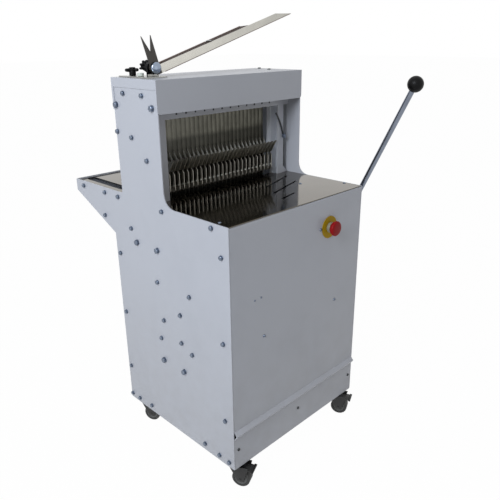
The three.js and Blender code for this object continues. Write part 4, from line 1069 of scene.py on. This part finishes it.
# %% [markdown]
# ## Casters
#
# Each caster has a grey rubber tyre on a nylon hub, between the cheeks of a wide black moulded
# fork. The tyre and the hub are discs whose faces are inset and pushed in. The fork's cheeks are
# blocks that narrow towards the axle, under a round crown.

# %% One wheel and one fork, in the caster's own axes
CASTERS = dict(zip(CORNERS, ((-215, 32), (215, 32), (-215, 428), (215, 428))))
HEADING = 25
TRAIL, WHEEL_DROP, WHEEL_RADIUS, WHEEL_WIDTH = 18, 53, 25, 29.6
CHEEK_INNER, CHEEK_OUTER = 15.6, 18.6
AXLE_RADIUS, AXLE_LENGTH = 3.9, 39
PIVOT_Y, PIVOT_Z, PIN_SPAN = -6, -21, 36
FLAT_CAP = 0.999


def disc_with_steps(radius, width, steps, edge):
    """A disc along X whose two faces are inset and pushed in or out, step by step."""
    item = bevelled(cylinder(radius * MM, width * MM, 64), edge * MM, 4)
    for outward in (1, -1):
        bpy.ops.object.mode_set(mode="EDIT")
        pick("FACE", lambda face: face.normal.z * outward > FLAT_CAP)
        for inset, depth in steps:
            bpy.ops.mesh.inset(thickness=inset * MM, depth=depth * MM)
        bpy.ops.object.mode_set(mode="OBJECT")
    return put(item, turn_about("Y", 90) @ shift(0, 0, -width / 2))


def cross_rod(radius, length, y, z, count):
    """A round bar along X, with its middle over the caster's axis."""
    rod = cylinder(radius * MM, length * MM, count)
    return put(rod, shift(-length / 2, y, z) @ turn_about("Y", 90))


def cheek(side):
    inner, outer = sorted((side * CHEEK_INNER * MM, side * CHEEK_OUTER * MM))
    item = slab((inner, -40 * MM, -60 * MM), (outer, 15 * MM, -12.4 * MM))
    bpy.ops.object.mode_set(mode="EDIT")
    pick("FACE", lambda face: face.normal.z < -UPRIGHT)
    bpy.ops.transform.resize(value=(1, 0.3, 1))
    bpy.ops.transform.translate(value=(0, -6 * MM, 0))
    bpy.ops.object.mode_set(mode="OBJECT")
    return bevelled(item, 1.2 * MM, 3, 30)


def fork_body(has_pedal):
    crown = put(bevelled(cylinder(20 * MM, 3 * MM, 48), 0.8 * MM, 2), shift(0, 0, -12.35))
    axle = bevelled(cross_rod(AXLE_RADIUS, AXLE_LENGTH, -TRAIL, -WHEEL_DROP, 32), 0.8 * MM, 2)
    pieces = [cheek(-1), cheek(1), axle, crown]
    if has_pedal:
        pieces.insert(0, cross_rod(2.4, PIN_SPAN, PIVOT_Y, PIVOT_Z, 24))
    return joined(*pieces)


def caster_place(name):
    x, y = CASTERS[name]
    return Matrix.Translation(at(x, y, 0)) @ turn_about("Z", HEADING)

# %% The four casters
TYRE_STEPS = ((1.5, 0), (1.2, -0.5))
HUB_STEPS = ((2.2, -1.4), (6.5, 0), (1.2, 1.8))
for name in CASTERS:
    hung = caster_place(name)
    axle_place = hung @ shift(0, -TRAIL, -WHEEL_DROP)
    tyre = cut_away(disc_with_steps(WHEEL_RADIUS, WHEEL_WIDTH, TYRE_STEPS, 3),
                    disc_with_steps(17.5, 40, ((1, 0),), 0.2))
    finish_piece(put(tyre, axle_place), f"caster_tyre_{name}", f"wheel_{name}", TREAD, 35,
                 (f"caster_wheel_{name}",))
    wheel_hub = cut_away(disc_with_steps(17.3, 28, HUB_STEPS, 0.8),
                         disc_with_steps(4.5, 40, ((1, 0),), 0.2))
    finish_piece(put(wheel_hub, axle_place), f"caster_hub_{name}", f"wheel_{name}", HUB_GREY)
    fork = put(fork_body(name.startswith("front")), hung)
    finish_piece(fork, f"caster_fork_moulded_{name}", f"caster_{name}", CASTER_BLACK,
                 35, (f"caster_fork_{name}",))
print("modelled", len(CASTERS), "casters")

# %% [markdown]
# ## Brake pedals
#
# The front casters have a pedal that is trodden down onto the tyre. It is a plate that widens
# into a toe piece past the fork, with ribs for grip.

# %% The two pedals
PEDAL_HALF, TOE_HALF = 14.6, 18
PEDAL_END, TOE_END = -42, -48
PEDAL_LEAN = 6.8


def across(half_width, y_low, y_high, z_low, z_high):
    """A block that reaches as far to the left as to the right, in millimetres."""
    block = slab([value * MM for value in (-half_width, y_low, z_low)],
                 [value * MM for value in (half_width, y_high, z_high)])
    return bevelled(block, 0.4 * MM, 2)


def pedal():
    boss = bevelled(cylinder(4.9 * MM, 2 * PEDAL_HALF * MM, 32), 0.4 * MM, 2)
    put(boss, shift(-PEDAL_HALF, 0, 0) @ turn_about("Y", 90))
    boss = cut_away(boss, disc_with_steps(2.9, 40, ((0.5, 0),), 0.1))
    plate = across(PEDAL_HALF, PEDAL_END, 0, -1.5, 1.5)
    toe = across(TOE_HALF, TOE_END, -40.9, -1.5, 2.2)
    ribs = [across(16, y - 0.6, y + 0.6, 1, 3) for y in (-46.4, -44, -41.9)]
    flat = put(joined(plate, toe, *ribs), shift(0, 0, 3.2) @ turn_about("X", PEDAL_LEAN))
    return joined(boss, flat)


for name in CORNERS[:2]:
    item = put(pedal(), caster_place(name) @ shift(0, PIVOT_Y, PIVOT_Z))
    finish_piece(item, f"brake_pedal_{name}", f"brake_{name}", CASTER_BLACK, 35,
                 (f"brake_tab_{name}",))
print("pedals on the front casters")

# %% [markdown]
# ## Trim of the feed table
#
# The table's front edge is closed by a thin bright rim that stands a little above the panel's
# bend. It catches the light as one line.

# %% The table's rim
rim = bevelled(slab(at(-246.8, 0.9, TABLE - 1.3), at(246.8, 3.1, TABLE + 0.5)), 0.6 * MM, 3)
finish_piece(rim, "table_rim", "cabinet", TABLE_SHEET_PAINTED_DARK)
print("rim", round((rim.dimensions.x) * 1000), "mm long")

# %% [markdown]
# ## Floor, light and camera
#
# The object stands on a plain pale floor. A large soft lamp on the left and a weaker one in
# front give its plates the photograph's two tones, and the world fills the shadows. The camera
# stands where the photograph was taken from, which a fit to the cabinet's edges gave.

# %% The studio
def sees_white(tree):
    """One for rays from the camera, in mirrors and through glass, and zero for light."""
    rays = tree.nodes.new("ShaderNodeLightPath")
    seen = Signal(tree, rays.outputs["Is Camera Ray"])
    for kind in ("Is Glossy Ray", "Is Transmission Ray"):
        seen = seen.math("MAXIMUM", seen, Signal(tree, rays.outputs[kind]))
    return seen


def studio_floor(name, level, glow_share):
    """A pale surface that looks white to the camera and in mirrors, and keeps the shadow."""
    finish = Finish(name, (level, level, level), 0.9)
    finish.paint(base_color=finish.mix(finish.noise(3, 2) * 0.05, tinted((level,) * 3),
                                       tinted((level * 0.96,) * 3)))
    glow = finish.node("ShaderNodeEmission", {}, {"Strength": 1.0})
    blend = finish.node("ShaderNodeMixShader", {}, {
        "Fac": sees_white(finish.tree) * glow_share,
        1: Signal(finish.tree, finish.shader.outputs[0]), 2: glow})
    finish.tree.links.new(blend.socket, finish.tree.nodes["Material Output"].inputs["Surface"])
    return finish.material


start_clean()
bpy.ops.mesh.primitive_plane_add(size=60, location=(0, 0, FLOOR))
floor = bpy.context.object
floor.name = "floor"
floor.data.materials.append(studio_floor("studio_floor", 0.8, 0.985))

WORLD_LIGHT = 0.26
world = bpy.data.worlds.new("studio")
bpy.context.scene.world = world
world.use_nodes = True
sky = world.node_tree.nodes["Background"]
sky.inputs["Color"].default_value = (1, 1, 1, 1)
strength = sees_white(world.node_tree) * (1 - WORLD_LIGHT) + WORLD_LIGHT
world.node_tree.links.new(strength.socket, sky.inputs["Strength"])
print("floor and sky are white to the camera, and light the rest at", WORLD_LIGHT)

# %% The lamps
def lamp(name, place, target, size, watts, shade=(1, 1, 1)):
    data = bpy.data.lights.new(name, "AREA")
    data.color = shade
    data.shape = "DISK"
    data.size = size
    data.energy = watts
    item = bpy.data.objects.new(name, data)
    bpy.context.scene.collection.objects.link(item)
    item.location = place
    item.rotation_euler = (Vector(target) - Vector(place)).to_track_quat("-Z", "Y").to_euler()
    return item


lamp("left_softbox", (-2.6, -0.62, 2.3), (0, 0, 0.9), 1.6, 66, (0.88, 0.93, 1.0))
lamp("front_fill", (0.8, -3.4, 1.0), (0, 0, 0.4), 2.0, 2, (1.0, 0.97, 0.93))
lamp("top_light", (0.2, 0.6, 3.6), (0, 0, 0.6), 1.6, 3)

# %% The camera, where the photograph was taken from
yaw, pitch, roll = math.radians(44.83), math.radians(20.94), math.radians(-0.68)
look = Vector((math.sin(yaw) * math.cos(pitch), math.cos(yaw) * math.cos(pitch), -math.sin(pitch)))
level_right = Vector((math.cos(yaw), -math.sin(yaw), 0))
level_up = level_right.cross(look)
image_right = level_right * math.cos(roll) + level_up * math.sin(roll)
image_up = level_up * math.cos(roll) - level_right * math.sin(roll)
camera_data = bpy.data.cameras.new("camera")
camera_data.sensor_width = 36
camera_data.lens = 555.2 / 500 * 36
camera_data.clip_end = 100
camera = bpy.data.objects.new("camera", camera_data)
bpy.context.scene.collection.objects.link(camera)
facing = Matrix((image_right, image_up, -look)).transposed().to_4x4()
camera.matrix_world = Matrix.Translation(at(-761.8 - 250, -831.8, 1036.2)) @ facing
bpy.context.scene.camera = camera
bpy.context.scene.view_settings.view_transform = "Standard"
print("camera at", tuple(round(value, 3) for value in camera.location))

# %% Sizes and the end
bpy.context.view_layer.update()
lowest = min(finished, key=lambda item: min(corner[2] for corner in item.bound_box))
print("finished", len(finished), "new pieces, the lowest of them", lowest.name)
